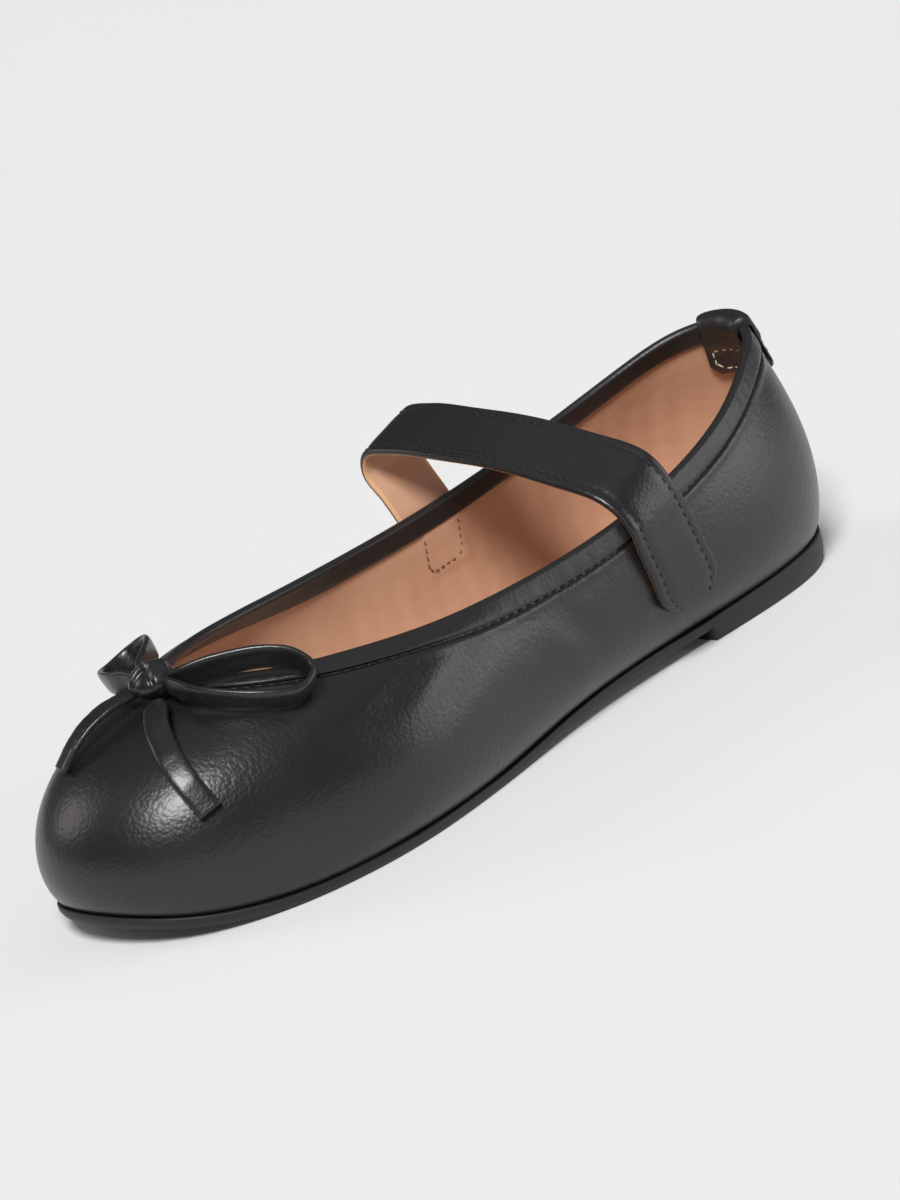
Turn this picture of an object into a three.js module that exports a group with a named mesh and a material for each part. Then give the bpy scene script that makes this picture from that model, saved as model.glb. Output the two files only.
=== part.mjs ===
// A round-toed ballet flat with an instep strap and a ribbon bow, left shoe, empty and flat on its sole.
// Millimetres, +Z up. The toe points to -Y and the outer side of the foot is +X.
// The origin is on the floor under the middle of the heel seat.

import * as THREE from 'three';
import { mergeVertices } from 'three/addons/utils/BufferGeometryUtils.js';

// Lengths along the shoe, measured on the line where upper and sole meet
const shoeLength = 243;
const vampLength = 45;
const collarSetIn = 4;
const heelSeatCentre = 30;
const heelLength = 62;

// Place of the strap's sewn end, and how far it slants back on its way across
const strapStation = 89;
const strapSlant = 11;

// Bow: its place below the top line, and its loops and tails.
// root and reach: how far to the side a tail starts and ends. gap: how far below the knot it starts.
// arch: how far it stands off the vamp.
const bowPlace = 9.5;
const outerLoopLength = 29;
const outerLoopOpening = 12;
const innerLoopLength = 24;
const innerLoopOpening = 11;
const outerTailLength = 30;
const outerTailRoot = 4.5;
const outerTailGap = 1.5;
const outerTailReach = 14.5;
const outerTailArch = 1.5;
const innerTailLength = 27;
const innerTailRoot = 2.5;
const innerTailReach = 4;
const innerTailArch = 3;

// Widths
const ballWidth = 76;
const collarWidth = 66;

// Heights above the floor
const backHeight = 63;
const sideHeight = 41.5;
const innerSideExtra = 2;
const throatHeight = 48;
const heelBackRise = 5.2;
const heelFrontRise = 3.4;
const toeSpring = 6;
const archRise = 1;

// Thicknesses and small widths
const soleThickness = 2.8;
const soleReach = 0.9;
const soleTaper = 0.8;
const heelBreast = 0.8;
const wall = 1.6;
const skivedWall = 1;
const lastingMargin = 6;
const bulge = 6;
const clearance = 0.3;
const insoleThickness = 2;
const bindingWidth = 5;
const bindingThickness = 0.6;
const strapWidth = 18;
const strapThickness = 1.9;
const ribbonWidth = 6;
const ribbonThickness = 1.8;
const knotWidth = 11;
const knotLength = 11;
const knotHeight = 7.5;
const tabWidth = 17;
const tabThickness = 1.2;
const tabDrop = 15;

// Where the tread lies flat, as stations from the back of the heel
const treadStart = 150;
const treadEnd = 203;

// Half-sections around the shoe, from the back of the heel by the outer side to the toe and back.
// foot and footOut: place on the feather line, as shares of shoe length and half ball width.
// mouth and mouthOut: place on the top line, as shares of the mouth's length and half width.
// rear and fore: how far the top line's height is that of the back and of the throat.
const halfSections = [
  { foot: 0, footOut: 0, mouth: 0, mouthOut: 0, rear: 1, fore: 0, form: 'heel' },
  { foot: 0.022, footOut: 0.39, mouth: 0.026, mouthOut: 0.33, rear: 0.94, fore: 0, form: 'heel' },
  { foot: 0.081, footOut: 0.645, mouth: 0.083, mouthOut: 0.56, rear: 0.77, fore: 0, form: 'heel' },
  { foot: 0.183, footOut: 0.735, mouth: 0.197, mouthOut: 0.81, rear: 0.42, fore: 0, form: 'waist' },
  { foot: 0.325, footOut: 0.745, mouth: 0.368, mouthOut: 0.965, rear: 0.12, fore: 0, form: 'waist' },
  { foot: 0.467, footOut: 0.795, mouth: 0.549, mouthOut: 1, rear: 0, fore: 0, form: 'waist' },
  { foot: 0.602, footOut: 0.925, mouth: 0.73, mouthOut: 0.945, rear: 0, fore: 0.12, form: 'ball' },
  { foot: 0.724, footOut: 1.012, mouth: 0.858, mouthOut: 0.79, rear: 0, fore: 0.47, form: 'ball' },
  { foot: 0.833, footOut: 0.93, mouth: 0.936, mouthOut: 0.6, rear: 0, fore: 0.74, form: 'toe' },
  { foot: 0.927, footOut: 0.69, mouth: 0.978, mouthOut: 0.39, rear: 0, fore: 0.92, form: 'toe' },
  { foot: 0.98, footOut: 0.36, mouth: 0.995, mouthOut: 0.185, rear: 0, fore: 0.98, form: 'toe' },
  { foot: 1, footOut: -0.08, mouth: 1, mouthOut: -0.03, rear: 0, fore: 1, form: 'toe' },
  { foot: 0.984, footOut: -0.46, mouth: 0.995, mouthOut: -0.22, rear: 0, fore: 0.98, form: 'toe' },
  { foot: 0.935, footOut: -0.72, mouth: 0.978, mouthOut: -0.43, rear: 0, fore: 0.92, form: 'toe' },
  { foot: 0.846, footOut: -0.895, mouth: 0.936, mouthOut: -0.63, rear: 0, fore: 0.74, form: 'toe' },
  { foot: 0.74, footOut: -0.975, mouth: 0.862, mouthOut: -0.81, rear: 0, fore: 0.47, form: 'ball' },
  { foot: 0.61, footOut: -0.85, mouth: 0.735, mouthOut: -0.935, rear: 0, fore: 0.12, form: 'ball' },
  { foot: 0.467, footOut: -0.67, mouth: 0.549, mouthOut: -0.975, rear: 0, fore: 0, form: 'waist' },
  { foot: 0.325, footOut: -0.635, mouth: 0.368, mouthOut: -0.935, rear: 0.12, fore: 0, form: 'waist' },
  { foot: 0.183, footOut: -0.71, mouth: 0.197, mouthOut: -0.8, rear: 0.42, fore: 0, form: 'waist' },
  { foot: 0.081, footOut: -0.645, mouth: 0.083, mouthOut: -0.56, rear: 0.77, fore: 0, form: 'heel' },
  { foot: 0.022, footOut: -0.39, mouth: 0.026, mouthOut: -0.33, rear: 0.94, fore: 0, form: 'heel' },
];

// Handles that bend a half-section, from the feather line to the top line.
// inward and up: shares of the way from foot to top line. out: share of the bulge.
const forms = {
  heel: [
    { inward: 0, out: 0.55, up: 0.1 },
    { inward: 0.1, out: 1, up: 0.34 },
    { inward: 0.3, out: 0.9, up: 0.55 },
    { inward: 0.7, out: 0.45, up: 0.8 },
  ],
  waist: [
    { inward: 0, out: 0.7, up: 0.08 },
    { inward: 0, out: 1.3, up: 0.28 },
    { inward: 0.3, out: 1.1, up: 0.52 },
    { inward: 0.7, out: 0.5, up: 0.8 },
  ],
  ball: [
    { inward: 0, out: 0.8, up: 0.12 },
    { inward: 0, out: 1.25, up: 0.42 },
    { inward: 0.22, out: 0.95, up: 0.78 },
    { inward: 0.66, out: 0.3, up: 0.94 },
  ],
  toe: [
    { inward: 0, out: 0.75, up: 0.14 },
    { inward: 0, out: 0.9, up: 0.58 },
    { inward: 0.2, out: 0.25, up: 0.84 },
    { inward: 0.62, out: 0.05, up: 0.96 },
  ],
};

// Sides of the grids
const columnsPerRow = 3;
const wallSteps = 12;
const wallEasing = 1.25;
const plateCells = 6;
const stepsPerFold = 3;
const tabColumns = 8;
const knotColumns = 16;
const knotRows = 10;

const up = new THREE.Vector3(0, 0, 1);
const lateral = 1;
const medial = -1;
const sectionCount = halfSections.length;
const toeRow = halfSections.findIndex((row) => row.foot === 1);

function stationToY(station) {
  return heelSeatCentre - station;
}

function yToStation(y) {
  return heelSeatCentre - y;
}

function smooth(share) {
  const held = THREE.MathUtils.clamp(share, 0, 1);
  return held * held * (3 - 2 * held);
}

// Under side of the sole, above the floor
function waistBottom(station) {
  const share = THREE.MathUtils.clamp((treadStart - station) / (treadStart - heelLength), 0, 1);
  const arch = archRise * Math.sin(Math.PI * share) ** 2;
  const seatShare = THREE.MathUtils.clamp((heelLength - station) / heelLength, 0, 1);
  const seat = (heelBackRise - heelFrontRise) * seatShare;
  const toeShare = Math.max(0, (station - treadEnd) / (shoeLength - treadEnd));
  return heelFrontRise * smooth(share) + arch + seat + toeSpring * toeShare ** 2;
}

function soleTop(station) {
  return waistBottom(station) + soleThickness;
}

// Control points of a closed cubic B-spline that passes through all given points
function closedSpline(points) {
  const controls = points.map((point) => point.clone());
  const count = points.length;
  const rounds = 40;
  for (let round = 0; round < rounds; round += 1) {
    for (let i = 0; i < count; i += 1) {
      const before = controls[(i + count - 1) % count];
      const after = controls[(i + 1) % count];
      controls[i].copy(points[i]).multiplyScalar(6).sub(before).sub(after).divideScalar(4);
    }
  }
  return controls;
}

// Point of a closed spline at place u, where 1 is once around
function splinePoint(controls, u) {
  const count = controls.length;
  const place = (((u % 1) + 1) % 1) * count;
  const first = Math.floor(place);
  const t = place - first;
  const weights = [
    (1 - t) ** 3 / 6,
    (3 * t ** 3 - 6 * t ** 2 + 4) / 6,
    (-3 * t ** 3 + 3 * t ** 2 + 3 * t + 1) / 6,
    t ** 3 / 6,
  ];
  const point = new THREE.Vector3();
  weights.forEach((weight, k) => {
    point.addScaledVector(controls[(first + k - 1 + count) % count], weight);
  });
  return point;
}

// Rings of the upper: feather line, four rings of handles and top line
function footPoint(row) {
  const station = row.foot * shoeLength;
  return new THREE.Vector3(row.footOut * ballWidth / 2, stationToY(station), soleTop(station) + clearance);
}

function mouthPoint(row) {
  const mouthLength = shoeLength - vampLength - collarSetIn;
  const station = collarSetIn + row.mouth * mouthLength;
  const innerExtra = row.footOut < 0 ? innerSideExtra * (1 - row.rear - row.fore) : 0;
  const side = sideHeight * (1 - row.rear - row.fore) + innerExtra;
  const height = side + backHeight * row.rear + throatHeight * row.fore;
  return new THREE.Vector3(row.mouthOut * collarWidth / 2, stationToY(station), height);
}

const footRing = closedSpline(halfSections.map(footPoint));

// Level direction out of the shoe, square to the feather line
function outward(u) {
  const step = 0.0005;
  const along = splinePoint(footRing, u + step).sub(splinePoint(footRing, u - step));
  return new THREE.Vector3(-along.y, along.x, 0).normalize();
}

function handleRing(index) {
  const points = halfSections.map((row, i) => {
    const handle = forms[row.form][index];
    const foot = footPoint(row);
    const mouth = mouthPoint(row);
    const point = foot.clone().lerp(mouth, handle.inward);
    point.z = THREE.MathUtils.lerp(foot.z, mouth.z, handle.up);
    return point.addScaledVector(outward(i / sectionCount), handle.out * bulge);
  });
  return closedSpline(points);
}

const rings = [footRing, ...[0, 1, 2, 3].map(handleRing), closedSpline(halfSections.map(mouthPoint))];
const binomials = [1, 5, 10, 10, 5, 1];

// Outer face of the upper at place u around it and share t of the way from foot to top line
function skin(u, t) {
  const point = new THREE.Vector3();
  rings.forEach((ring, k) => {
    const weight = binomials[k] * t ** k * (1 - t) ** (5 - k);
    point.addScaledVector(splinePoint(ring, u), weight);
  });
  return point;
}

function skinFrame(u, t) {
  const step = 0.0005;
  const low = Math.max(0, t - step);
  const high = Math.min(1, t + step);
  const climb = skin(u, high).sub(skin(u, low)).normalize();
  const along = skin(u + step, t).sub(skin(u - step, t)).normalize();
  const normal = climb.clone().cross(along).normalize();
  return { point: skin(u, t), climb, along, normal };
}

// A point off the outer face, out from the shoe where the distance is positive
function offSkin(u, t, distance) {
  const frame = skinFrame(u, t);
  return frame.point.addScaledVector(frame.normal, distance);
}

// Share t that lies a distance below the top line
function shareBelowTop(u, distance) {
  const steps = 160;
  let length = 0;
  let last = skin(u, 1);
  for (let i = steps - 1; i >= 0; i -= 1) {
    const next = skin(u, i / steps);
    const span = next.distanceTo(last);
    if (length + span >= distance) return (i + 1 - (distance - length) / span) / steps;
    length += span;
    last = next;
  }
  return 0;
}

// The value between low and high where a test that starts out true turns false
function bisect(low, high, isBelow) {
  const rounds = 26;
  for (let i = 0; i < rounds; i += 1) {
    const middle = (low + high) / 2;
    if (isBelow(middle)) low = middle;
    else high = middle;
  }
  return low;
}

function placeOnSide(side, u) {
  return side === lateral ? u : 1 - u;
}

// Place around the shoe where the feather line reaches a station
function findOnFoot(side, station) {
  const test = (u) => yToStation(splinePoint(footRing, placeOnSide(side, u)).y) < station;
  return placeOnSide(side, bisect(0, toeRow / sectionCount, test));
}

// Place on the outer face at a station and a height, on one side of the shoe
function findOnSkin(side, station, height) {
  const rounds = 8;
  let u = 0;
  let t = 0.5;
  for (let round = 0; round < rounds; round += 1) {
    const isBefore = (v) => yToStation(skin(placeOnSide(side, v), t).y) < station;
    const share = bisect(0, toeRow / sectionCount, isBefore);
    u = placeOnSide(side, share);
    t = bisect(0, 1, (v) => skin(u, v).z < height);
  }
  return { u, t };
}

function meshFromTriangles(points, triangles) {
  const geometry = new THREE.BufferGeometry();
  const positions = points.flatMap((point) => [point.x, point.y, point.z]);
  geometry.setAttribute('position', new THREE.Float32BufferAttribute(positions, 3));
  geometry.setIndex(triangles.flat());
  geometry.computeVertexNormals();
  return geometry;
}

function signedVolume(points, triangles) {
  let sum = 0;
  triangles.forEach(([a, b, c]) => {
    sum += points[a].dot(points[b].clone().cross(points[c])) / 6;
  });
  return sum;
}

// A closed mesh with its triangles turned outwards
function closedMesh(points, triangles) {
  const outwards = signedVolume(points, triangles) > 0;
  const faces = outwards ? triangles : triangles.map(([a, b, c]) => [a, c, b]);
  return meshFromTriangles(points, faces);
}

// Triangles that close a flat section, turned the way its points go round
function capTriangles(section) {
  const middle = new THREE.Vector3();
  section.forEach((point) => middle.addScaledVector(point, 1 / section.length));
  const normal = new THREE.Vector3();
  section.forEach((point, j) => {
    const next = section[(j + 1) % section.length];
    normal.add(point.clone().sub(middle).cross(next.clone().sub(middle)));
  });
  normal.normalize();
  const across = section[1].clone().sub(section[0]).projectOnPlane(normal).normalize();
  const rise = normal.clone().cross(across);
  const outline = section.map((point) => new THREE.Vector2(point.dot(across), point.dot(rise)));
  return THREE.ShapeUtils.triangulateShape(outline, []).map(([a, b, c]) => {
    const isTurned = outline[b].clone().sub(outline[a]).cross(outline[c].clone().sub(outline[a])) > 0;
    return isTurned ? [a, b, c] : [a, c, b];
  });
}

// Sweep of a closed section; the sweep is a ring, or has flat ends
function sweep(sections, isRing) {
  const size = sections[0].length;
  const points = sections.flat();
  const triangles = [];
  const spans = isRing ? sections.length : sections.length - 1;
  for (let i = 0; i < spans; i += 1) {
    const here = i * size;
    const there = ((i + 1) % sections.length) * size;
    for (let j = 0; j < size; j += 1) {
      const next = (j + 1) % size;
      triangles.push([here + j, there + j, there + next]);
      triangles.push([here + j, there + next, here + next]);
    }
  }
  if (!isRing) {
    const lastBase = (sections.length - 1) * size;
    capTriangles(sections[0]).forEach(([a, b, c]) => triangles.push([a, b, c]));
    capTriangles(sections.at(-1)).forEach(([a, b, c]) => {
      triangles.push([lastBase + a, lastBase + c, lastBase + b]);
    });
  }
  return closedMesh(points, triangles);
}

// A plate between a lower and an upper outline, as a ladder of rungs across the shoe
function plate(rungList, sidePoint, levels, heightAt) {
  const points = [];
  const triangles = [];
  const index = new Map();
  const edgeLevels = levels.length;
  function keep(key, make) {
    if (!index.has(key)) {
      index.set(key, points.length);
      points.push(make());
    }
    return index.get(key);
  }
  const last = rungList.length - 1;
  const isTip = (i) => i === 0 || i === last;
  // Point of a rung: cell 0 is the outer side, the last cell the inner side
  function at(i, cell, level) {
    const onTip = isTip(i);
    const held = onTip ? 0 : cell;
    return keep(`${i},${held},${level}`, () => {
      const outer = sidePoint(rungList[i][lateral], level);
      const inner = sidePoint(rungList[i][medial], level);
      const point = outer.lerp(inner, onTip ? 0 : cell / plateCells);
      point.z = heightAt(point, level);
      return point;
    });
  }
  function quad(a, b, c, d) {
    if (a !== b && b !== c && a !== c) triangles.push([a, b, c]);
    if (a !== c && c !== d && a !== d) triangles.push([a, c, d]);
  }
  for (let i = 0; i < last; i += 1) {
    for (let cell = 0; cell < plateCells; cell += 1) {
      quad(at(i, cell, 0), at(i, cell + 1, 0), at(i + 1, cell + 1, 0), at(i + 1, cell, 0));
      const top = edgeLevels - 1;
      quad(at(i, cell, top), at(i + 1, cell, top), at(i + 1, cell + 1, top), at(i, cell + 1, top));
    }
    for (let level = 0; level < edgeLevels - 1; level += 1) {
      quad(at(i, 0, level), at(i + 1, 0, level), at(i + 1, 0, level + 1), at(i, 0, level + 1));
      const end = plateCells;
      quad(at(i, end, level), at(i, end, level + 1), at(i + 1, end, level + 1), at(i + 1, end, level));
    }
  }
  return closedMesh(points, triangles);
}

// Rungs of a plate from heel to toe, each with its place on the outer and the inner side.
// Extra rungs stand at given stations, and even ones too near to them are left out.
function rungs(extraStations) {
  const count = toeRow * columnsPerRow;
  const even = Array.from({ length: count + 1 }, (_, i) => ({
    [lateral]: i / count * toeRow / sectionCount,
    [medial]: 1 - i / count * toeRow / sectionCount,
  }));
  const extra = extraStations.map((station) => ({
    [lateral]: findOnFoot(lateral, station),
    [medial]: findOnFoot(medial, station),
  }));
  const spacing = 0.4 / sectionCount / columnsPerRow;
  const isFree = (rung) => extra.every((other) => Math.abs(other[lateral] - rung[lateral]) > spacing);
  return [...even.filter(isFree), ...extra].sort((a, b) => a[lateral] - b[lateral]);
}

function outsole() {
  // Levels of the sole's edge from the bottom up, as shares of its taper and of its height
  const levels = [
    { inset: 1, share: 0 },
    { inset: 0.125, share: 0.3 },
    { inset: 0, share: 1 },
  ];
  const breast = [heelLength - heelBreast / 2, heelLength + heelBreast / 2];
  const bottomAt = (station) => (station < heelLength ? 0 : waistBottom(station));
  function sidePoint(u, level) {
    const reach = soleReach - levels[level].inset * soleTaper;
    return splinePoint(footRing, u).addScaledVector(outward(u), reach);
  }
  function heightAt(point, level) {
    const station = yToStation(point.y);
    const bottom = bottomAt(station);
    const top = soleTop(station);
    return THREE.MathUtils.lerp(bottom, top, levels[level].share);
  }
  return plate(rungs(breast), sidePoint, levels, heightAt);
}

function insole() {
  const levels = [{ lift: 0 }, { lift: insoleThickness }];
  const floorLift = wall + 2 * clearance;
  const liftOf = (level) => floorLift + levels[level].lift;
  // The edge follows the inside of the wall at its own height
  function sidePoint(u, level) {
    const height = splinePoint(footRing, u).z - clearance + liftOf(level);
    const t = bisect(0, 0.5, (v) => offSkin(u, v, -wall).z < height);
    return offSkin(u, t, -wall - 2 * clearance);
  }
  function heightAt(point, level) {
    return soleTop(yToStation(point.y)) + liftOf(level);
  }
  return plate(rungs([]), sidePoint, levels, heightAt);
}

// The wall is pared thinner towards the top line
function wallAt(t) {
  const skiveStart = 0.8;
  return THREE.MathUtils.lerp(wall, skivedWall, smooth((t - skiveStart) / (1 - skiveStart)));
}

// One closed section through the wall, from the margin under the insole up to the top line and back
function wallSection(u) {
  const foot = splinePoint(footRing, u);
  const inwards = outward(u).multiplyScalar(-lastingMargin);
  const marginBottom = foot.clone().add(inwards);
  marginBottom.z = soleTop(yToStation(marginBottom.y)) + clearance;
  const marginTop = marginBottom.clone().addScaledVector(up, wall);
  const outer = [];
  const inner = [];
  for (let i = 0; i <= wallSteps; i += 1) {
    const t = (i / wallSteps) ** wallEasing;
    outer.push(skin(u, t));
    inner.push(offSkin(u, t, -wallAt(t)));
  }
  const lowest = soleTop(yToStation(inner[0].y)) + clearance + wall;
  inner[0].z = Math.max(inner[0].z, lowest);
  return [marginBottom, ...outer, ...inner.reverse(), marginTop];
}

function ringPlaces() {
  const count = sectionCount * columnsPerRow;
  return Array.from({ length: count }, (_, i) => i / count);
}

function upper() {
  return sweep(ringPlaces().map(wallSection), true);
}

// A strip folded over the top line, with a leg outside and a leg inside.
// legs: distances below the top line, with the gap that the strip keeps to the wall there.
function foldSection(u, legs, topGap, thickness) {
  const top = skinFrame(u, 1);
  const overTop = (out, rise) => top.point.clone()
    .addScaledVector(top.normal, out)
    .addScaledVector(top.climb, rise);
  const leg = (row, out) => offSkin(u, row.t, out);
  const rows = legs.map((row) => ({ t: shareBelowTop(u, row.below), gap: row.gap }));
  const downwards = [...rows].reverse();
  return [
    ...rows.map((row) => leg(row, row.gap)),
    overTop(topGap, topGap),
    overTop(-skivedWall - topGap, topGap),
    ...downwards.map((row) => leg(row, -wallAt(row.t) - row.gap)),
    ...rows.map((row) => leg(row, -wallAt(row.t) - row.gap - thickness)),
    overTop(-skivedWall - topGap - thickness, 0),
    overTop(-skivedWall - topGap, topGap + thickness),
    overTop(topGap, topGap + thickness),
    overTop(topGap + thickness, 0),
    ...downwards.map((row) => leg(row, row.gap + thickness)),
  ];
}

function binding() {
  const legs = [{ below: bindingWidth, gap: clearance }, { below: bindingWidth / 2, gap: clearance }];
  const section = (u) => foldSection(u, legs, clearance, bindingThickness);
  return sweep(ringPlaces().map(section), true);
}

// Place on the top line at a distance from a start, measured along it
function topPlace(startU, distance) {
  const step = Math.sign(distance) * 0.0005;
  let u = startU;
  let length = 0;
  while (length < Math.abs(distance)) {
    length += skin(u + step, 1).distanceTo(skin(u, 1));
    u += step;
  }
  return u;
}

// Faceted faces that curve the other way need more room between them
const facetClearance = 2.5 * clearance;
const strapClearance = 1.5 * clearance;
const overBinding = clearance + bindingThickness + facetClearance;

// Folded patch over the back of the collar, on top of the binding
function heelTab() {
  const legs = [
    { below: tabDrop, gap: facetClearance },
    { below: (tabDrop + bindingWidth) / 2, gap: facetClearance },
    { below: bindingWidth + bindingThickness, gap: overBinding },
    { below: bindingWidth / 2, gap: overBinding },
  ];
  const first = topPlace(0, -tabWidth / 2);
  const last = topPlace(0, tabWidth / 2);
  const places = Array.from({ length: tabColumns + 1 }, (_, i) => first + (last - first) * i / tabColumns);
  return sweep(places.map((u) => foldSection(u, legs, overBinding, tabThickness)), false);
}

// Folds of the instep strap, from its sewn end on the inner side, over the foot, to its tip.
// side: lies on the inner or outer wall, and between them hangs free. across: share of the collar's
// half width. front and rear: heights of its two edges as shares of the side height.
// drift: share of the way that it slants back. wide: share of its width. over: share of the binding's step.
const strapFolds = [
  { side: medial, front: 0.42, rear: 0.44, drift: 0, wide: 0.9, over: 0 },
  { side: medial, front: 0.6, rear: 0.63, drift: 0, wide: 1, over: 0 },
  { side: medial, front: 0.8, rear: 0.84, drift: 0, wide: 1, over: 0.4 },
  { side: medial, front: 0.98, rear: 1.02, drift: 0, wide: 1, over: 1.3 },
  { across: -1.16, front: 1.18, rear: 1.24, drift: 0, wide: 1 },
  { across: -1.3, front: 1.33, rear: 1.43, drift: 0, wide: 1 },
  { across: -1.25, front: 1.44, rear: 1.58, drift: 0, wide: 1 },
  { across: -0.95, front: 1.47, rear: 1.62, drift: 0.03, wide: 1 },
  { across: -0.5, front: 1.44, rear: 1.59, drift: 0.12, wide: 1 },
  { across: 0, front: 1.38, rear: 1.53, drift: 0.3, wide: 1 },
  { across: 0.5, front: 1.27, rear: 1.42, drift: 0.52, wide: 1.02 },
  { across: 0.9, front: 1.15, rear: 1.29, drift: 0.75, wide: 1.05 },
  { side: lateral, front: 0.98, rear: 1.08, drift: 0.95, wide: 1.1, over: 1.3 },
  { side: lateral, front: 0.8, rear: 0.9, drift: 1.1, wide: 1.15, over: 0.5 },
  { side: lateral, front: 0.62, rear: 0.7, drift: 1.25, wide: 1.15, over: 0 },
  { side: lateral, front: 0.47, rear: 0.53, drift: 1.4, wide: 1.15, over: 0 },
  { side: lateral, front: 0.38, rear: 0.42, drift: 1.5, wide: 0.8, over: 0 },
];

// Inner face of the strap: one point on its front edge, middle or rear edge
function strapPoint(fold, place) {
  const width = strapWidth * fold.wide;
  const station = strapStation - fold.drift * strapSlant - place * width / 2;
  const height = sideHeight * THREE.MathUtils.lerp(fold.front, fold.rear, (place + 1) / 2);
  if (fold.side === undefined) {
    return new THREE.Vector3(fold.across * collarWidth / 2, stationToY(station), height);
  }
  const found = findOnSkin(fold.side, station, height);
  return offSkin(found.u, found.t, strapClearance + fold.over * (clearance + bindingThickness));
}

function instepStrap() {
  const places = [-1, 0, 1];
  const lines = places.map((place) => {
    const points = strapFolds.map((fold) => strapPoint(fold, place));
    return new THREE.CatmullRomCurve3(points, false, 'centripetal');
  });
  const steps = (strapFolds.length - 1) * stepsPerFold;
  const sections = [];
  for (let i = 0; i <= steps; i += 1) {
    const inside = lines.map((line) => line.getPoint(i / steps));
    const along = lines[1].getTangent(i / steps);
    const across = inside[2].clone().sub(inside[0]).normalize();
    const out = along.clone().cross(across).normalize();
    const outside = inside.map((point) => point.clone().addScaledVector(out, strapThickness));
    sections.push([...inside, ...outside.reverse()]);
  }
  return sweep(sections, false);
}

// A point of the bow: along the top line from the throat, below it down the vamp, and off the skin
function bowFrame(along, below) {
  const u = topPlace(toeRow / sectionCount, -along);
  return skinFrame(u, shareBelowTop(u, below));
}

function bowPoint({ along, below, lift }) {
  const frame = bowFrame(along, below);
  return { point: frame.point.addScaledVector(frame.normal, lift), normal: frame.normal };
}

// Ribbon of a flat section along a path; a standing ribbon has its width off the skin
function ribbon(path, standing) {
  const ends = path.map(bowPoint);
  const line = new THREE.CatmullRomCurve3(ends.map((end) => end.point), false, 'centripetal');
  const normals = new THREE.CatmullRomCurve3(ends.map((end) => end.normal), false, 'centripetal');
  const steps = (path.length - 1) * stepsPerFold;
  const half = [ribbonWidth / 2, ribbonThickness / 2];
  // Corners of the section, rounded by one bevel each
  const corners = [[1, 0.4], [0.8, 1], [-0.8, 1], [-1, 0.4], [-1, -0.4], [-0.8, -1], [0.8, -1], [1, -0.4]];
  const sections = [];
  for (let i = 0; i <= steps; i += 1) {
    const centre = line.getPoint(i / steps);
    const along = line.getTangent(i / steps);
    const off = normals.getPoint(i / steps);
    off.addScaledVector(along, -off.dot(along)).normalize();
    const across = along.clone().cross(off);
    const [wide, thin] = standing ? [off, across] : [across, off];
    sections.push(corners.map(([a, b]) => centre.clone()
      .addScaledVector(wide, a * half[0])
      .addScaledVector(thin, b * half[1])));
  }
  return sweep(sections, false);
}

// Path of a loop's ribbon. along: share of the way from the knot's side to the loop's tip.
// below: share of the opening under the bow's place. lift: share of the ribbon's width.
const loopFolds = [
  { along: 0, below: -0.18, lift: 0.84 },
  { along: 0.22, below: -0.5, lift: 0.84 },
  { along: 0.6, below: -0.68, lift: 0.84 },
  { along: 0.88, below: -0.5, lift: 0.82 },
  { along: 1, below: -0.1, lift: 0.78 },
  { along: 0.88, below: 0.28, lift: 0.74 },
  { along: 0.6, below: 0.4, lift: 0.72 },
  { along: 0.22, below: 0.34, lift: 0.74 },
  { along: 0, below: 0.16, lift: 0.8 },
];

function bowLoop(side, length, opening) {
  const path = loopFolds.map((fold) => ({
    along: side * THREE.MathUtils.lerp(knotWidth / 2 + clearance, length, fold.along),
    below: bowPlace + fold.below * opening,
    lift: fold.lift * ribbonWidth,
  }));
  return ribbon(path, true);
}

// A tail from under the knot, arched off the vamp and down to it at its end
function bowTail(start, end, arch) {
  const count = 4;
  const archStart = 0.25;
  const path = Array.from({ length: count + 1 }, (_, i) => {
    const share = i / count;
    const archShare = THREE.MathUtils.lerp(archStart, 1, share);
    return {
      along: THREE.MathUtils.lerp(start.along, end.along, share),
      below: THREE.MathUtils.lerp(start.below, end.below, share),
      lift: ribbonThickness / 2 + 2 * clearance + arch * Math.sin(Math.PI * archShare),
    };
  });
  return ribbon(path, false);
}

function outerTail() {
  const start = { along: outerTailRoot, below: bowPlace + knotLength / 2 + outerTailGap };
  const end = { along: outerTailReach, below: bowPlace + outerTailLength };
  return bowTail(start, end, outerTailArch);
}

function innerTail() {
  const start = { along: -innerTailRoot, below: bowPlace + knotLength / 2 };
  const end = { along: -innerTailReach, below: bowPlace + innerTailLength };
  return bowTail(start, end, innerTailArch);
}

// The knot, a rounded lump over the roots of loops and tails
function bowKnot() {
  const frame = bowFrame(0, bowPlace);
  const geometry = new THREE.SphereGeometry(0.5, knotColumns, knotRows);
  geometry.deleteAttribute('normal');
  geometry.deleteAttribute('uv');
  const merged = mergeVertices(geometry);
  const axes = new THREE.Matrix4().makeBasis(
    frame.along.clone().multiplyScalar(knotWidth),
    frame.climb.clone().multiplyScalar(knotLength),
    frame.normal.clone().multiplyScalar(knotHeight),
  );
  const centre = frame.point.addScaledVector(frame.normal, knotHeight / 2 + facetClearance);
  axes.setPosition(centre);
  merged.applyMatrix4(axes);
  const positions = merged.getAttribute('position');
  const points = Array.from({ length: positions.count }, (_, i) => (
    new THREE.Vector3().fromBufferAttribute(positions, i)
  ));
  const flat = Array.from(merged.index.array);
  const triangles = Array.from({ length: flat.length / 3 }, (_, i) => flat.slice(3 * i, 3 * i + 3));
  return closedMesh(points, triangles);
}

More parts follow.
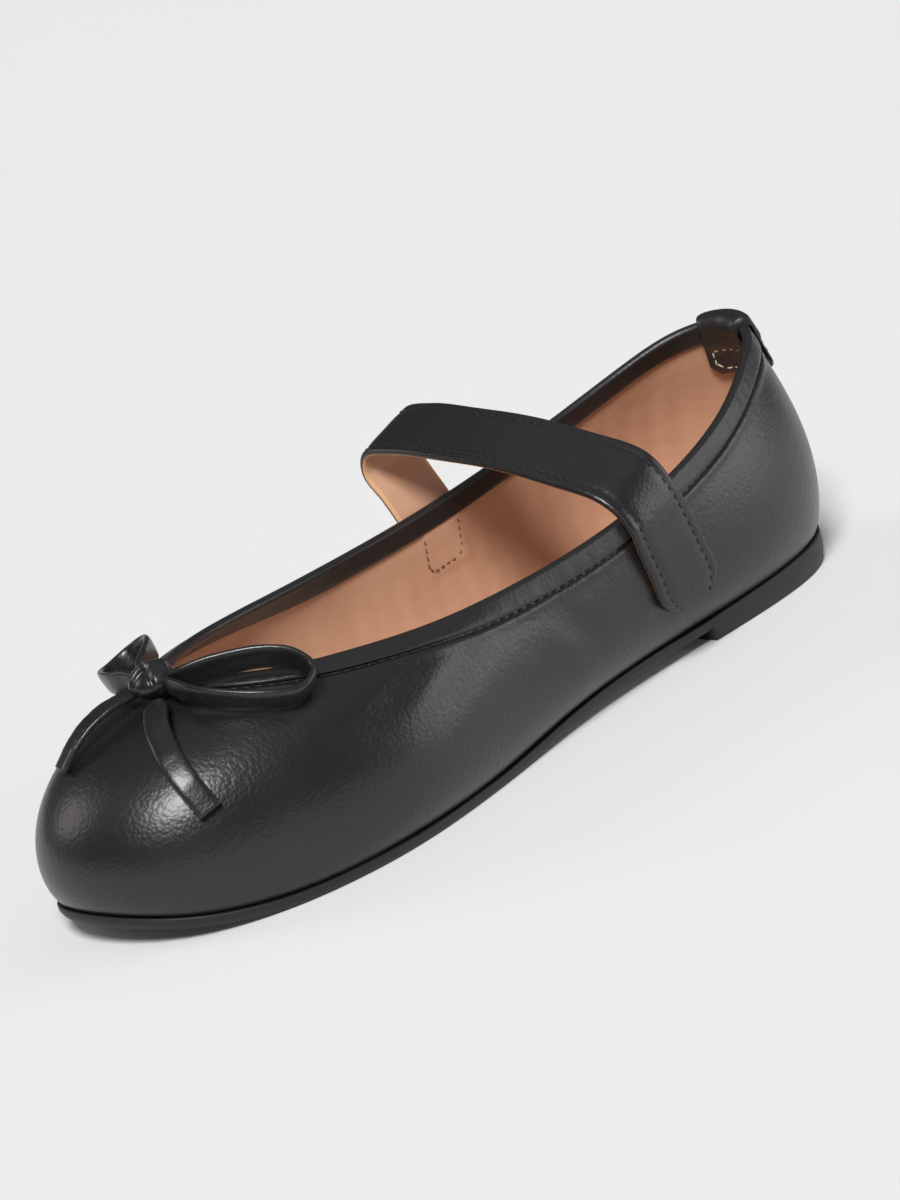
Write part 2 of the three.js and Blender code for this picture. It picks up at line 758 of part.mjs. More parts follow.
const leather = new THREE.MeshStandardMaterial({ color: 0x1b1a1d, roughness: 0.42, metalness: 0 });
const edgeLeather = new THREE.MeshStandardMaterial({ color: 0x151416, roughness: 0.38, metalness: 0 });
const rubber = new THREE.MeshStandardMaterial({ color: 0x121112, roughness: 0.6, metalness: 0 });
const sock = new THREE.MeshStandardMaterial({ color: 0xd29a6c, roughness: 0.6, metalness: 0 });

function named(name, geometry, material) {
  const mesh = new THREE.Mesh(geometry, material);
  mesh.name = name;
  return mesh;
}

const shoe = new THREE.Group();
shoe.add(named('outsole', outsole(), rubber));
shoe.add(named('upper', upper(), leather));
shoe.add(named('insole', insole(), sock));
shoe.add(named('topline_binding', binding(), edgeLeather));
shoe.add(named('heel_tab', heelTab(), edgeLeather));
shoe.add(named('instep_strap', instepStrap(), leather));
shoe.add(named('bow_knot', bowKnot(), edgeLeather));
shoe.add(named('bow_loop_outer', bowLoop(lateral, outerLoopLength, outerLoopOpening), edgeLeather));
shoe.add(named('bow_loop_inner', bowLoop(medial, innerLoopLength, innerLoopOpening), edgeLeather));
shoe.add(named('bow_tail_outer', outerTail(), edgeLeather));
shoe.add(named('bow_tail_inner', innerTail(), edgeLeather));

export default shoe;
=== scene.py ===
"""Looks of a black ballet flat with an instep strap and a ribbon bow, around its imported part.

Sizes are in metres, in the part's own frame: the toe points to -Y, the outer side of the foot is +X,
and the origin is on the floor under the middle of the heel seat.
"""

import math
from collections import namedtuple

import bmesh
import bpy
import numpy as np
from mathutils import Matrix, Vector


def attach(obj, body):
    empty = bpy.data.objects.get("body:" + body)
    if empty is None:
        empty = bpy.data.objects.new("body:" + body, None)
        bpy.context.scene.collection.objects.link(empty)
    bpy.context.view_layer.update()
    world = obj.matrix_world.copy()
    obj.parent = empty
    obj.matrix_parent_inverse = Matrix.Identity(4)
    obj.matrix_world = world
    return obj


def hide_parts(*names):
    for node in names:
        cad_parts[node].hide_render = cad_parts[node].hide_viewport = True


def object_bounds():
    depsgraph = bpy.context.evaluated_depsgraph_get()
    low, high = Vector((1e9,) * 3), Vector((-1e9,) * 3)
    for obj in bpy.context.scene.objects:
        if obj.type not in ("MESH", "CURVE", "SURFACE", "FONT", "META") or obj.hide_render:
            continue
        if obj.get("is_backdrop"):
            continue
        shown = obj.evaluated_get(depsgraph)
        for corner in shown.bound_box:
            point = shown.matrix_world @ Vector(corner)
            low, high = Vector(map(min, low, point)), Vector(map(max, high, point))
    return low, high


bl_info = {
    "name": "Ballet flat looks",
    "version": (1, 0, 0),
    "blender": (4, 5, 0),
    "location": "View3D > Sidebar > Flat",
    "description": "Leather, lining, seams, bow and studio of a ballet flat",
    "category": "Object",
}

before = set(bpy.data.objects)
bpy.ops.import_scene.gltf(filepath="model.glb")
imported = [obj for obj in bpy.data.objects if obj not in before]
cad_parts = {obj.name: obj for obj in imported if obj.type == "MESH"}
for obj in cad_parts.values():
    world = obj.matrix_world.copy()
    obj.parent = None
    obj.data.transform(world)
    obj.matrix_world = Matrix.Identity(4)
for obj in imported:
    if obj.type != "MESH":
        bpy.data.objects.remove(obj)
packed_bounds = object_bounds()

LATERAL = 1
MEDIAL = -1
MM = 0.001

# Places around the shoe for its main pieces, and a rough length round it for waves along it
COLUMNS = 528
GIRTH = 0.6

# Gaps under the pieces that lie on the leather in flat facets, as shares of the clearance
FACET_CLEARANCES = 2.5
STRAP_CLEARANCES = 1.5

# Seams: how far the one under the binding lies below it, and the strap's ones from its edges
BINDING_SEAM_DROP = 0.35 * MM
STRAP_SEAM_INSET = 2.4 * MM


# Tables of the shape

# Half-sections around the shoe, from the back of the heel by the outer side to the toe and back.
# foot and foot_out: place on the feather line, as shares of shoe length and half ball width.
# mouth and mouth_out: place on the top line, as shares of the mouth's length and half width.
# rear and fore: how far the top line's height is that of the back and of the throat.
HalfSection = namedtuple("HalfSection", "foot foot_out mouth mouth_out rear fore form")
HALF_SECTIONS = [
    HalfSection(0, 0, 0, 0, 1, 0, "heel"),
    HalfSection(0.022, 0.39, 0.026, 0.33, 0.94, 0, "heel"),
    HalfSection(0.081, 0.645, 0.083, 0.56, 0.77, 0, "heel"),
    HalfSection(0.183, 0.735, 0.197, 0.81, 0.42, 0, "waist"),
    HalfSection(0.325, 0.745, 0.368, 0.965, 0.12, 0, "waist"),
    HalfSection(0.467, 0.795, 0.549, 1, 0, 0, "waist"),
    HalfSection(0.602, 0.925, 0.73, 0.945, 0, 0.12, "ball"),
    HalfSection(0.724, 1.012, 0.858, 0.79, 0, 0.47, "ball"),
    HalfSection(0.833, 0.93, 0.936, 0.6, 0, 0.74, "toe"),
    HalfSection(0.927, 0.69, 0.978, 0.39, 0, 0.92, "toe"),
    HalfSection(0.98, 0.36, 0.995, 0.185, 0, 0.98, "toe"),
    HalfSection(1, -0.08, 1, -0.03, 0, 1, "toe"),
    HalfSection(0.984, -0.46, 0.995, -0.22, 0, 0.98, "toe"),
    HalfSection(0.935, -0.72, 0.978, -0.43, 0, 0.92, "toe"),
    HalfSection(0.846, -0.895, 0.936, -0.63, 0, 0.74, "toe"),
    HalfSection(0.74, -0.975, 0.862, -0.81, 0, 0.47, "ball"),
    HalfSection(0.61, -0.85, 0.735, -0.935, 0, 0.12, "ball"),
    HalfSection(0.467, -0.67, 0.549, -0.975, 0, 0, "waist"),
    HalfSection(0.325, -0.635, 0.368, -0.935, 0.12, 0, "waist"),
    HalfSection(0.183, -0.71, 0.197, -0.8, 0.42, 0, "waist"),
    HalfSection(0.081, -0.645, 0.083, -0.56, 0.77, 0, "heel"),
    HalfSection(0.022, -0.39, 0.026, -0.33, 0.94, 0, "heel"),
]

# Handles that bend a half-section, from the feather line to the top line.
# inward and up: shares of the way from foot to top line. out: share of the bulge.
Handle = namedtuple("Handle", "inward out up")
FORMS = {
    "heel": [Handle(0, 0.55, 0.1), Handle(0.1, 1, 0.34), Handle(0.3, 0.9, 0.55), Handle(0.7, 0.45, 0.8)],
    "waist": [Handle(0, 0.7, 0.08), Handle(0, 1.3, 0.28), Handle(0.3, 1.1, 0.52), Handle(0.7, 0.5, 0.8)],
    "ball": [Handle(0, 0.8, 0.12), Handle(0, 1.25, 0.42), Handle(0.22, 0.95, 0.78), Handle(0.66, 0.3, 0.94)],
    "toe": [Handle(0, 0.75, 0.14), Handle(0, 0.9, 0.58), Handle(0.2, 0.25, 0.84), Handle(0.62, 0.05, 0.96)],
}

# Folds of the instep strap on a wall: front and rear are heights of its two edges as shares of the side
# height, drift the share of the way that it slants back, wide the share of its width, and over the share
# of the binding's step. Folds that hang free have across, a share of the collar's half width.
Fold = namedtuple("Fold", "side across front rear drift wide over")
STRAP_FOLDS = [
    Fold(MEDIAL, None, 0.42, 0.44, 0, 0.9, 0),
    Fold(MEDIAL, None, 0.6, 0.63, 0, 1, 0),
    Fold(MEDIAL, None, 0.8, 0.84, 0, 1, 0.4),
    Fold(MEDIAL, None, 0.98, 1.02, 0, 1, 1.3),
    Fold(None, -1.16, 1.18, 1.24, 0, 1, 0),
    Fold(None, -1.3, 1.33, 1.43, 0, 1, 0),
    Fold(None, -1.25, 1.44, 1.58, 0, 1, 0),
    Fold(None, -0.95, 1.47, 1.62, 0.03, 1, 0),
    Fold(None, -0.5, 1.44, 1.59, 0.12, 1, 0),
    Fold(None, 0, 1.38, 1.53, 0.3, 1, 0),
    Fold(None, 0.5, 1.27, 1.42, 0.52, 1.02, 0),
    Fold(None, 0.9, 1.15, 1.29, 0.75, 1.05, 0),
    Fold(LATERAL, None, 0.98, 1.08, 0.95, 1.1, 1.3),
    Fold(LATERAL, None, 0.8, 0.9, 1.1, 1.15, 0.5),
    Fold(LATERAL, None, 0.62, 0.7, 1.25, 1.15, 0),
    Fold(LATERAL, None, 0.47, 0.53, 1.4, 1.15, 0),
    Fold(LATERAL, None, 0.38, 0.42, 1.5, 0.8, 0),
]

# Path of a loop's ribbon. along: share of the way from the knot's side to the loop's tip.
# below: share of the opening under the bow's place. lift: share of the ribbon's width.
LoopFold = namedtuple("LoopFold", "along below lift")
LOOP_FOLDS = [
    LoopFold(0, -0.18, 0.84),
    LoopFold(0.22, -0.5, 0.84),
    LoopFold(0.6, -0.68, 0.84),
    LoopFold(0.88, -0.5, 0.82),
    LoopFold(1, -0.1, 0.78),
    LoopFold(0.88, 0.28, 0.74),
    LoopFold(0.6, 0.4, 0.72),
    LoopFold(0.22, 0.34, 0.74),
    LoopFold(0, 0.16, 0.8),
]

# Soft creases of the outer leather, each a trough with a ridge beside it.
# side, and from one place to another: station and distance below the top line, in millimetres.
# depth and half_width are in millimetres too.
Crease = namedtuple("Crease", "side from_station from_below to_station to_below depth half_width")
CREASES = [
    Crease(LATERAL, 146, 10, 170, 26, 0.4, 6),
    Crease(LATERAL, 158, 9, 186, 22, 0.3, 5),
    Crease(LATERAL, 118, 9, 104, 24, 0.35, 6),
    Crease(LATERAL, 60, 12, 84, 26, 0.3, 7),
    Crease(MEDIAL, 148, 11, 172, 27, 0.4, 6),
    Crease(MEDIAL, 160, 10, 184, 22, 0.3, 5),
    Crease(MEDIAL, 108, 10, 118, 26, 0.3, 6),
    Crease(MEDIAL, 50, 14, 72, 28, 0.3, 7),
]

# Distances of the upper's finer rows below the top line, in millimetres
NEAR_TOP_LINE = [0, 0.5, 1, 1.6, 2.3, 3, 3.8, 4.4, 4.8, 5.1, 5.4, 5.8, 6.2, 6.6, 7, 7.5, 8.2, 9, 10]

# A leg of the binding: distance below the top line as a share of its width, and height off the leather
# in millimetres
BINDING_LEG = [(1, 0.3), (0.99, 0.62), (0.94, 0.82), (0.84, 0.9), (0.64, 0.92), (0.44, 0.92), (0.26, 0.9)]

# A leg of the heel tab: distance below the top line as a share of its reach, and the share of its lift
TAB_LEG = [(1, 0.35), (0.995, 0.75), (0.97, 0.95)]
TAB_LEG += [(share, 1) for share in (0.9, 0.8, 0.7, 0.6, 0.5, 0.42, 0.36, 0.3, 0.2, 0.12, 0.06)]

# A plate's level: how far its edge is inset, and the share of the plate's thickness
Level = namedtuple("Level", "inset share")

# Far round softboxes: azimuth and elevation seen from the shoe, and spread, all in degrees
Softbox = namedtuple("Softbox", "name azimuth elevation spread strength tint")
SOFTBOXES = [
    Softbox("key_softbox", 42, 50, 20, 3.1, (1, 1, 1)),
    Softbox("left_softbox", -57, 29, 28, 0.45, (1, 0.95, 0.9)),
    Softbox("rear_softbox", 142, 11, 30, 0.6, (1, 1, 1)),
    Softbox("sky_softbox", 180, 70, 70, 0.2, (1, 1, 1)),
]


# Settings

def length(name, description, metres):
    return bpy.props.FloatProperty(name=name, description=description, default=metres, unit="LENGTH")


def degrees(name, description, value):
    turn = math.radians(value)
    return bpy.props.FloatProperty(name=name, description=description, default=turn, subtype="ANGLE")


def colour(name, description, value):
    return bpy.props.FloatVectorProperty(name=name, description=description, default=value, subtype="COLOR")


class LastSizes(bpy.types.PropertyGroup):
    """Sizes of the last and the sole, the same as in the part"""

    shoe_length: length("Shoe length", "From heel to toe on the feather line", 0.243)
    vamp_length: length("Vamp length", "From the throat to the toe", 0.045)
    collar_set_in: length("Collar set in", "How far the collar's back leans in", 0.004)
    heel_seat_centre: length("Heel seat centre", "From the back of the heel to the origin", 0.03)
    heel_length: length("Heel length", "Length of the heel block", 0.062)
    ball_width: length("Ball width", "Width at the ball", 0.076)
    collar_width: length("Collar width", "Width of the top line", 0.066)
    back_height: length("Back height", "Top line above the floor at the back", 0.063)
    side_height: length("Side height", "Top line above the floor at the side", 0.0415)
    inner_side_extra: length("Inner side extra", "How much higher the inner side is", 0.002)
    throat_height: length("Throat height", "Top line above the floor at the throat", 0.048)
    heel_back_rise: length("Heel back rise", "Sole above the floor at the back", 0.0052)
    heel_front_rise: length("Heel front rise", "Sole above the floor at the breast", 0.0034)
    toe_spring: length("Toe spring", "Sole above the floor at the toe", 0.006)
    arch_rise: length("Arch rise", "Extra rise under the arch", 0.001)
    tread_start: length("Tread start", "Station where the tread starts", 0.15)
    tread_end: length("Tread end", "Station where the tread ends", 0.203)
    sole_thickness: length("Sole thickness", "Thickness of the outsole", 0.0028)
    sole_reach: length("Sole reach", "How far the sole stands out", 0.0009)
    sole_taper: length("Sole taper", "How far its lower edge stands in", 0.0008)
    heel_breast: length("Heel breast", "Length of the step in front of the heel", 0.0008)
    wall: length("Wall", "Thickness of leather and lining", 0.0016)
    skived_wall: length("Skived wall", "Thickness at the top line", 0.001)
    bulge: length("Bulge", "How far the walls bulge", 0.006)
    clearance: length("Clearance", "Gap between pieces", 0.0003)
    insole_thickness: length("Insole thickness", "Thickness of insole and sock", 0.002)
    lasting_margin: length("Lasting margin", "Leather under the insole", 0.006)


class TrimSizes(bpy.types.PropertyGroup):
    """Sizes of binding, strap, tab and bow, the same as in the part"""

    binding_width: length("Binding width", "Width of the binding on each side", 0.005)
    binding_thickness: length("Binding thickness", "Thickness of the binding", 0.0006)
    strap_station: length("Strap station", "Place of the strap's sewn end", 0.089)
    strap_slant: length("Strap slant", "How far the strap slants back", 0.011)
    strap_width: length("Strap width", "Width of the strap", 0.018)
    strap_thickness: length("Strap thickness", "Thickness of the strap", 0.0019)
    tab_width: length("Tab width", "Width of the heel tab", 0.017)
    tab_thickness: length("Tab thickness", "Thickness of the heel tab", 0.0012)
    tab_drop: length("Tab drop", "How far the tab reaches down", 0.015)
    bow_place: length("Bow place", "Bow below the top line", 0.0095)
    outer_loop_length: length("Outer loop length", "Length of the outer loop", 0.029)
    inner_loop_length: length("Inner loop length", "Length of the inner loop", 0.024)
    outer_loop_opening: length("Outer loop opening", "Opening of the outer loop", 0.012)
    inner_loop_opening: length("Inner loop opening", "Opening of the inner loop", 0.011)
    outer_tail_length: length("Outer tail length", "From the bow's place to the tail's end", 0.03)
    outer_tail_root: length("Outer tail root", "How far to the side it starts", 0.0045)
    outer_tail_reach: length("Outer tail reach", "How far to the side it ends", 0.0145)
    outer_tail_gap: length("Outer tail gap", "How far below the knot it starts", 0.0015)
    outer_tail_arch: length("Outer tail arch", "How far it stands off the vamp", 0.0015)
    inner_tail_length: length("Inner tail length", "From the bow's place to the tail's end", 0.027)
    inner_tail_root: length("Inner tail root", "How far to the side it starts", 0.0025)
    inner_tail_reach: length("Inner tail reach", "How far to the side it ends", 0.004)
    inner_tail_arch: length("Inner tail arch", "How far it stands off the vamp", 0.003)
    ribbon_width: length("Ribbon width", "Width of the ribbon", 0.006)
    ribbon_thickness: length("Ribbon thickness", "Thickness of the ribbon", 0.0018)
    knot_width: length("Knot width", "Size of the knot across", 0.011)
    knot_length: length("Knot length", "Size of the knot down the vamp", 0.011)
    knot_height: length("Knot height", "Height of the knot", 0.0075)


class FinishColours(bpy.types.PropertyGroup):
    """Colours of the finishes, each between a deep tone and a light one"""

    leather_deep: colour("Leather, deep", "Upper and strap, darkest", (0.0085, 0.0078, 0.0083))
    leather_light: colour("Leather, light", "Upper and strap, lightest", (0.015, 0.0137, 0.0143))
    binding_deep: colour("Binding, deep", "Binding and tab, darkest", (0.0095, 0.009, 0.0095))
    binding_light: colour("Binding, light", "Binding and tab, lightest", (0.016, 0.0148, 0.0155))
    ribbon_deep: colour("Ribbon, deep", "Bow, darkest", (0.0085, 0.008, 0.0085))
    ribbon_light: colour("Ribbon, light", "Bow, lightest", (0.015, 0.014, 0.0148))
    lining_deep: colour("Lining, deep", "Lining, darkest", (0.56, 0.31, 0.195))
    lining_light: colour("Lining, light", "Lining, lightest", (0.7, 0.43, 0.29))
    lining_fibre: colour("Lining, fibre", "Fibres in the lining", (0.33, 0.13, 0.055))
    # The sock's tones are lighter than the lining's partly by its own paler tan and partly by painted light,
    # as on the insole where the lamps fall into the shoe
    sock_deep: colour("Sock, deep", "Sock, darkest", (0.76, 0.52, 0.38))
    sock_light: colour("Sock, light", "Sock, lightest", (0.9, 0.68, 0.52))
    sock_fibre: colour("Sock, fibre", "Fibres in the sock", (0.45, 0.2, 0.1))
    rubber_deep: colour("Rubber, deep", "Outsole, darkest", (0.006, 0.0056, 0.006))
    rubber_light: colour("Rubber, light", "Outsole, lightest", (0.012, 0.0112, 0.0117))
    raw_edge_deep: colour("Raw edge, deep", "Cut edge of the strap, darkest", (0.62, 0.3, 0.13))
    raw_edge_light: colour("Raw edge, light", "Cut edge of the strap, lightest", (0.8, 0.5, 0.28))
    black_thread_deep: colour("Black thread, deep", "Black seams, darkest", (0.008, 0.0075, 0.008))
    black_thread_light: colour("Black thread, light", "Black seams, lightest", (0.02, 0.018, 0.02))
    pale_thread_deep: colour("Pale thread, deep", "Heel tab's seam, darkest", (0.5, 0.4, 0.28))
    pale_thread_light: colour("Pale thread, light", "Heel tab's seam, lightest", (0.75, 0.64, 0.48))
    tan_thread_deep: colour("Tan thread, deep", "Seam in the lining, darkest", (0.12, 0.05, 0.025))
    tan_thread_light: colour("Tan thread, light", "Seam in the lining, lightest", (0.22, 0.1, 0.05))
    floor: colour("Floor", "Paint of the floor", (0.84, 0.84, 0.84))


class StudioSettings(bpy.types.PropertyGroup):
    """Place and lens of the camera"""

    azimuth: degrees("Azimuth", "Turn of the camera round the shoe", 50)
    elevation: degrees("Elevation", "Height of the camera above the shoe", 18)
    roll: degrees("Roll", "Turn of the picture, heel up", -15)
    distance: length("Distance", "From the camera to the shoe", 1.0)
    aim_x: length("Aim X", "Point that the camera looks at", 0.0)
    aim_y: length("Aim Y", "Point that the camera looks at", -0.088)
    aim_z: length("Aim Z", "Point that the camera looks at", 0.033)
    lens: bpy.props.FloatProperty(name="Lens", description="Focal length in millimetres", default=124)


class FlatSettings(bpy.types.PropertyGroup):
    """All settings of the shoe's looks"""

    last: bpy.props.PointerProperty(type=LastSizes, name="Last", description="Sizes of last and sole")
    trim: bpy.props.PointerProperty(type=TrimSizes, name="Trim", description="Sizes of the trim")
    colours: bpy.props.PointerProperty(type=FinishColours, name="Colours", description="Colours of finishes")
    studio: bpy.props.PointerProperty(type=StudioSettings, name="Studio", description="Camera of the picture")


# Shape functions, the same as in the part

def smooth(share):
    held = np.clip(share, 0, 1)
    return held * held * (3 - 2 * held)


def lerp(a, b, share):
    return a + (b - a) * share


def unit(vectors):
    return vectors / np.linalg.norm(vectors, axis=-1, keepdims=True)


def closed_spline(points):
    """Control points of a closed cubic B-spline that passes through the points"""
    count = len(points)
    weights = 4 * np.eye(count) + np.roll(np.eye(count), 1, axis=1) + np.roll(np.eye(count), -1, axis=1)
    return np.linalg.solve(weights, 6 * points)


def spline_at(controls, u):
    count = len(controls)
    place = np.mod(u, 1) * count
    first = np.floor(place).astype(int)
    t = place - first
    weights = [(1 - t) ** 3, 3 * t**3 - 6 * t**2 + 4, -3 * t**3 + 3 * t**2 + 3 * t + 1, t**3]
    terms = [w[..., None] / 6 * controls[(first + k - 1) % count] for k, w in enumerate(weights)]
    return sum(terms)


def ripple(place, wave, seed):
    """A smooth uneven wave from -1 to 1 along a place, with no repeat to see"""
    total = 0
    for k, stretch in enumerate((1, 1.618, 2.414, 0.473)):
        total = total + np.sin(2 * np.pi * place / (wave * stretch) + seed * (k + 1.7)) / 4
    return total * 1.5


def hump(place, centre, half_width):
    """A soft ridge, 1 at its centre and 0 beyond its half width"""
    share = np.clip(np.abs(place - centre) / half_width, 0, 1)
    return (1 - share**2) ** 2


class Last:
    """The shape of the shoe: rings around it and the sections between them"""

    def __init__(self, sizes):
        self.s = sizes
        feet = np.array([self.foot_point(row) for row in HALF_SECTIONS])
        mouths = np.array([self.mouth_point(row) for row in HALF_SECTIONS])
        self.foot = closed_spline(feet)
        outs = self.outward(np.arange(len(feet)) / len(feet))
        self.rings = [self.foot]
        for index in range(4):
            handles = [FORMS[row.form][index] for row in HALF_SECTIONS]
            inward = np.array([h.inward for h in handles])[:, None]
            points = lerp(feet, mouths, inward)
            points[:, 2] = lerp(feet[:, 2], mouths[:, 2], np.array([h.up for h in handles]))
            points += outs * np.array([h.out for h in handles])[:, None] * sizes.bulge
            self.rings.append(closed_spline(points))
        self.rings.append(closed_spline(mouths))

    def y(self, station):
        return self.s.heel_seat_centre - station

    def station(self, y):
        return self.s.heel_seat_centre - y

    def sole_bottom(self, station):
        s = self.s
        share = np.clip((s.tread_start - station) / (s.tread_start - s.heel_length), 0, 1)
        arch = s.arch_rise * np.sin(np.pi * share) ** 2
        seat_share = np.clip((s.heel_length - station) / s.heel_length, 0, 1)
        seat = (s.heel_back_rise - s.heel_front_rise) * seat_share
        toe_share = np.maximum(0, (station - s.tread_end) / (s.shoe_length - s.tread_end))
        return s.heel_front_rise * smooth(share) + arch + seat + s.toe_spring * toe_share**2

    def sole_top(self, station):
        return self.sole_bottom(station) + self.s.sole_thickness

    def foot_point(self, row):
        s = self.s
        station = row.foot * s.shoe_length
        return row.foot_out * s.ball_width / 2, self.y(station), self.sole_top(station) + s.clearance

    def mouth_point(self, row):
        s = self.s
        station = s.collar_set_in + row.mouth * (s.shoe_length - s.vamp_length - s.collar_set_in)
        level = 1 - row.rear - row.fore
        extra = s.inner_side_extra * level if row.foot_out < 0 else 0
        height = s.side_height * level + extra + s.back_height * row.rear + s.throat_height * row.fore
        return row.mouth_out * s.collar_width / 2, self.y(station), height

    def outward(self, u):
        step = 0.0005
        along = spline_at(self.foot, u + step) - spline_at(self.foot, u - step)
        flat = np.stack([-along[..., 1], along[..., 0], 0 * along[..., 0]], axis=-1)
        return unit(flat)

    def skin(self, u, t):
        u, t = np.broadcast_arrays(np.asarray(u, float), np.asarray(t, float))
        binomials = (1, 5, 10, 10, 5, 1)
        terms = [
            (b * t**k * (1 - t) ** (5 - k))[..., None] * spline_at(ring, u)
            for k, (b, ring) in enumerate(zip(binomials, self.rings))
        ]
        return sum(terms)

    def climb(self, u, t):
        step = 0.0005
        high, low = np.minimum(1, np.asarray(t) + step), np.maximum(0, np.asarray(t) - step)
        return unit(self.skin(u, high) - self.skin(u, low))

    def normal(self, u, t):
        step = 0.0005
        along = unit(self.skin(np.asarray(u) + step, t) - self.skin(np.asarray(u) - step, t))
        return unit(np.cross(self.climb(u, t), along))

    def off(self, u, t, distance):
        return self.skin(u, t) + self.normal(u, t) * np.asarray(distance)[..., None]

    def wall_at(self, t):
        skive_start = 0.8
        return lerp(self.s.wall, self.s.skived_wall, smooth((t - skive_start) / (1 - skive_start)))

    def fall(self, u):
        """Shares t down each section from the top line, and their distances below it"""
        steps = np.linspace(1, 0, 161)
        points = self.skin(np.asarray(u)[:, None], steps[None, :])
        spans = np.linalg.norm(np.diff(points, axis=1), axis=-1)
        return steps, np.concatenate([np.zeros((len(u), 1)), np.cumsum(spans, axis=1)], axis=1)

    def share_below_top(self, u, distances):
        """Shares t at distances below the top line: a row for each u"""
        steps, lengths = self.fall(u)
        return np.array([np.interp(distances, row, steps) for row in lengths])

    def distance_below_top(self, u, t):
        steps, lengths = self.fall(u)
        return np.array([np.interp(-v, -steps, row) for v, row in zip(t, lengths)])

    def top_place(self, start, distance):
        """Place on the top line at a distance from a start, measured along it"""
        u = start + np.linspace(-0.25, 0.25, 1001)
        spans = np.linalg.norm(np.diff(self.skin(u, 1), axis=0), axis=1)
        lengths = np.concatenate([[0], np.cumsum(spans)])
        lengths -= np.interp(start, u, lengths)
        return np.interp(distance, lengths, u)

    def leg(self, u, distance, lift, inside):
        """Points at a distance below the top line, lifted off the leather or off the lining inside"""
        t = self.share_below_top(u, np.array([distance]))[:, 0]
        return self.off(u, t, -self.wall_at(t) - lift if inside else lift + 0 * u)

    def find_on_foot(self, side, station):
        share = np.linspace(0, 0.5, 2001)
        u = share if side == LATERAL else 1 - share
        return np.interp(station, self.station(spline_at(self.foot, u)[:, 1]), u)

    def find_on_skin(self, side, station, height):
        share = np.linspace(0, 0.5, 601)
        steps = np.linspace(0, 1, 401)
        t = 0.5
        for _ in range(8):
            line = share if side == LATERAL else 1 - share
            u = np.interp(station, self.station(self.skin(line, t)[:, 1]), line)
            t = np.interp(height, self.skin(u, steps)[:, 2], steps)
        return u, t


# Meshes

def make_object(name, points, faces, materials, indices=None):
    """A smooth mesh object; indices give each face's material"""
    mesh = bpy.data.meshes.new(name)
    mesh.from_pydata([tuple(p) for p in points], [], [tuple(f) for f in faces])
    for material in materials:
        mesh.materials.append(material)
    if indices is not None:
        mesh.polygons.foreach_set("material_index", np.asarray(indices, np.int32))
    mesh.shade_smooth()
    mesh.validate()
    piece = bpy.data.objects.new(name, mesh)
    bpy.context.scene.collection.objects.link(piece)
    return piece


def weld(piece, distance=0.00001):
    """Joins points that lie on each other and turns all faces outwards"""
    mesh = bmesh.new()
    mesh.from_mesh(piece.data)
    bmesh.ops.remove_doubles(mesh, verts=mesh.verts, dist=distance)
    bmesh.ops.recalc_face_normals(mesh, faces=mesh.faces)
    mesh.to_mesh(piece.data)
    mesh.free()


def sweep_faces(count, size, is_ring):
    """Faces of a sweep of closed sections; an open sweep has a face at each end"""
    rows = np.arange(count if is_ring else count - 1)[:, None]
    cols = np.arange(size)[None, :]
    there = (rows + 1) % count
    after = (cols + 1) % size
    quads = np.stack([rows * size + cols, there * size + cols, there * size + after, rows * size + after], -1)
    faces = quads.reshape(-1, 4).tolist()
    if not is_ring:
        faces.append(list(range(size)))
        faces.append([(count - 1) * size + j for j in reversed(range(size))])
    return faces


def sweep(name, sections, materials, is_ring=False, indices=None):
    """A piece swept from sections, an array of rows, points in a row, and coordinates"""
    count, size, _ = sections.shape
    faces = sweep_faces(count, size, is_ring)
    if indices is not None:
        spans = count if is_ring else count - 1
        indices = np.tile(indices, spans).tolist() + [0] * (len(faces) - spans * size)
    piece = make_object(name, sections.reshape(-1, 3), faces, materials, indices)
    weld(piece)
    return piece


def finish_piece(piece, slot, *nodes):
    """Fixes a piece to the shoe's one body, and lets it replace nodes of the part"""
    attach(piece, "root")
    if nodes:
        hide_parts(*nodes)


def centripetal(points, counts):
    """Points of a centripetal Catmull-Rom curve, evenly many between each two of its points"""
    padded = np.concatenate([[2 * points[0] - points[1]], points, [2 * points[-1] - points[-2]]])
    line = []
    for i in range(len(points) - 1):
        p0, p1, p2, p3 = padded[i : i + 4]
        t0 = 0
        t1 = t0 + np.linalg.norm(p1 - p0) ** 0.5
        t2 = t1 + np.linalg.norm(p2 - p1) ** 0.5
        t3 = t2 + np.linalg.norm(p3 - p2) ** 0.5
        for t in np.linspace(t1, t2, counts, endpoint=False):
            a1 = lerp(p0, p1, (t - t0) / (t1 - t0))
            a2 = lerp(p1, p2, (t - t1) / (t2 - t1))
            a3 = lerp(p2, p3, (t - t2) / (t3 - t2))
            b1 = lerp(a1, a2, (t - t0) / (t2 - t0))
            b2 = lerp(a2, a3, (t - t1) / (t3 - t1))
            line.append(lerp(b1, b2, (t - t1) / (t2 - t1)))
    line.append(points[-1])
    return np.array(line)


def even_along(line, spacing, start):
    """Places along a polyline at an even spacing: index positions, as real numbers"""
    lengths = np.concatenate([[0], np.cumsum(np.linalg.norm(np.diff(line, axis=0), axis=1))])
    marks = np.arange(start, lengths[-1], spacing)
    return np.interp(marks, lengths, np.arange(len(line)))


def sample(line, places):
    """Points of a polyline at index positions"""
    index = np.arange(len(line))
    return np.stack([np.interp(places, index, line[:, k]) for k in range(3)], axis=-1)


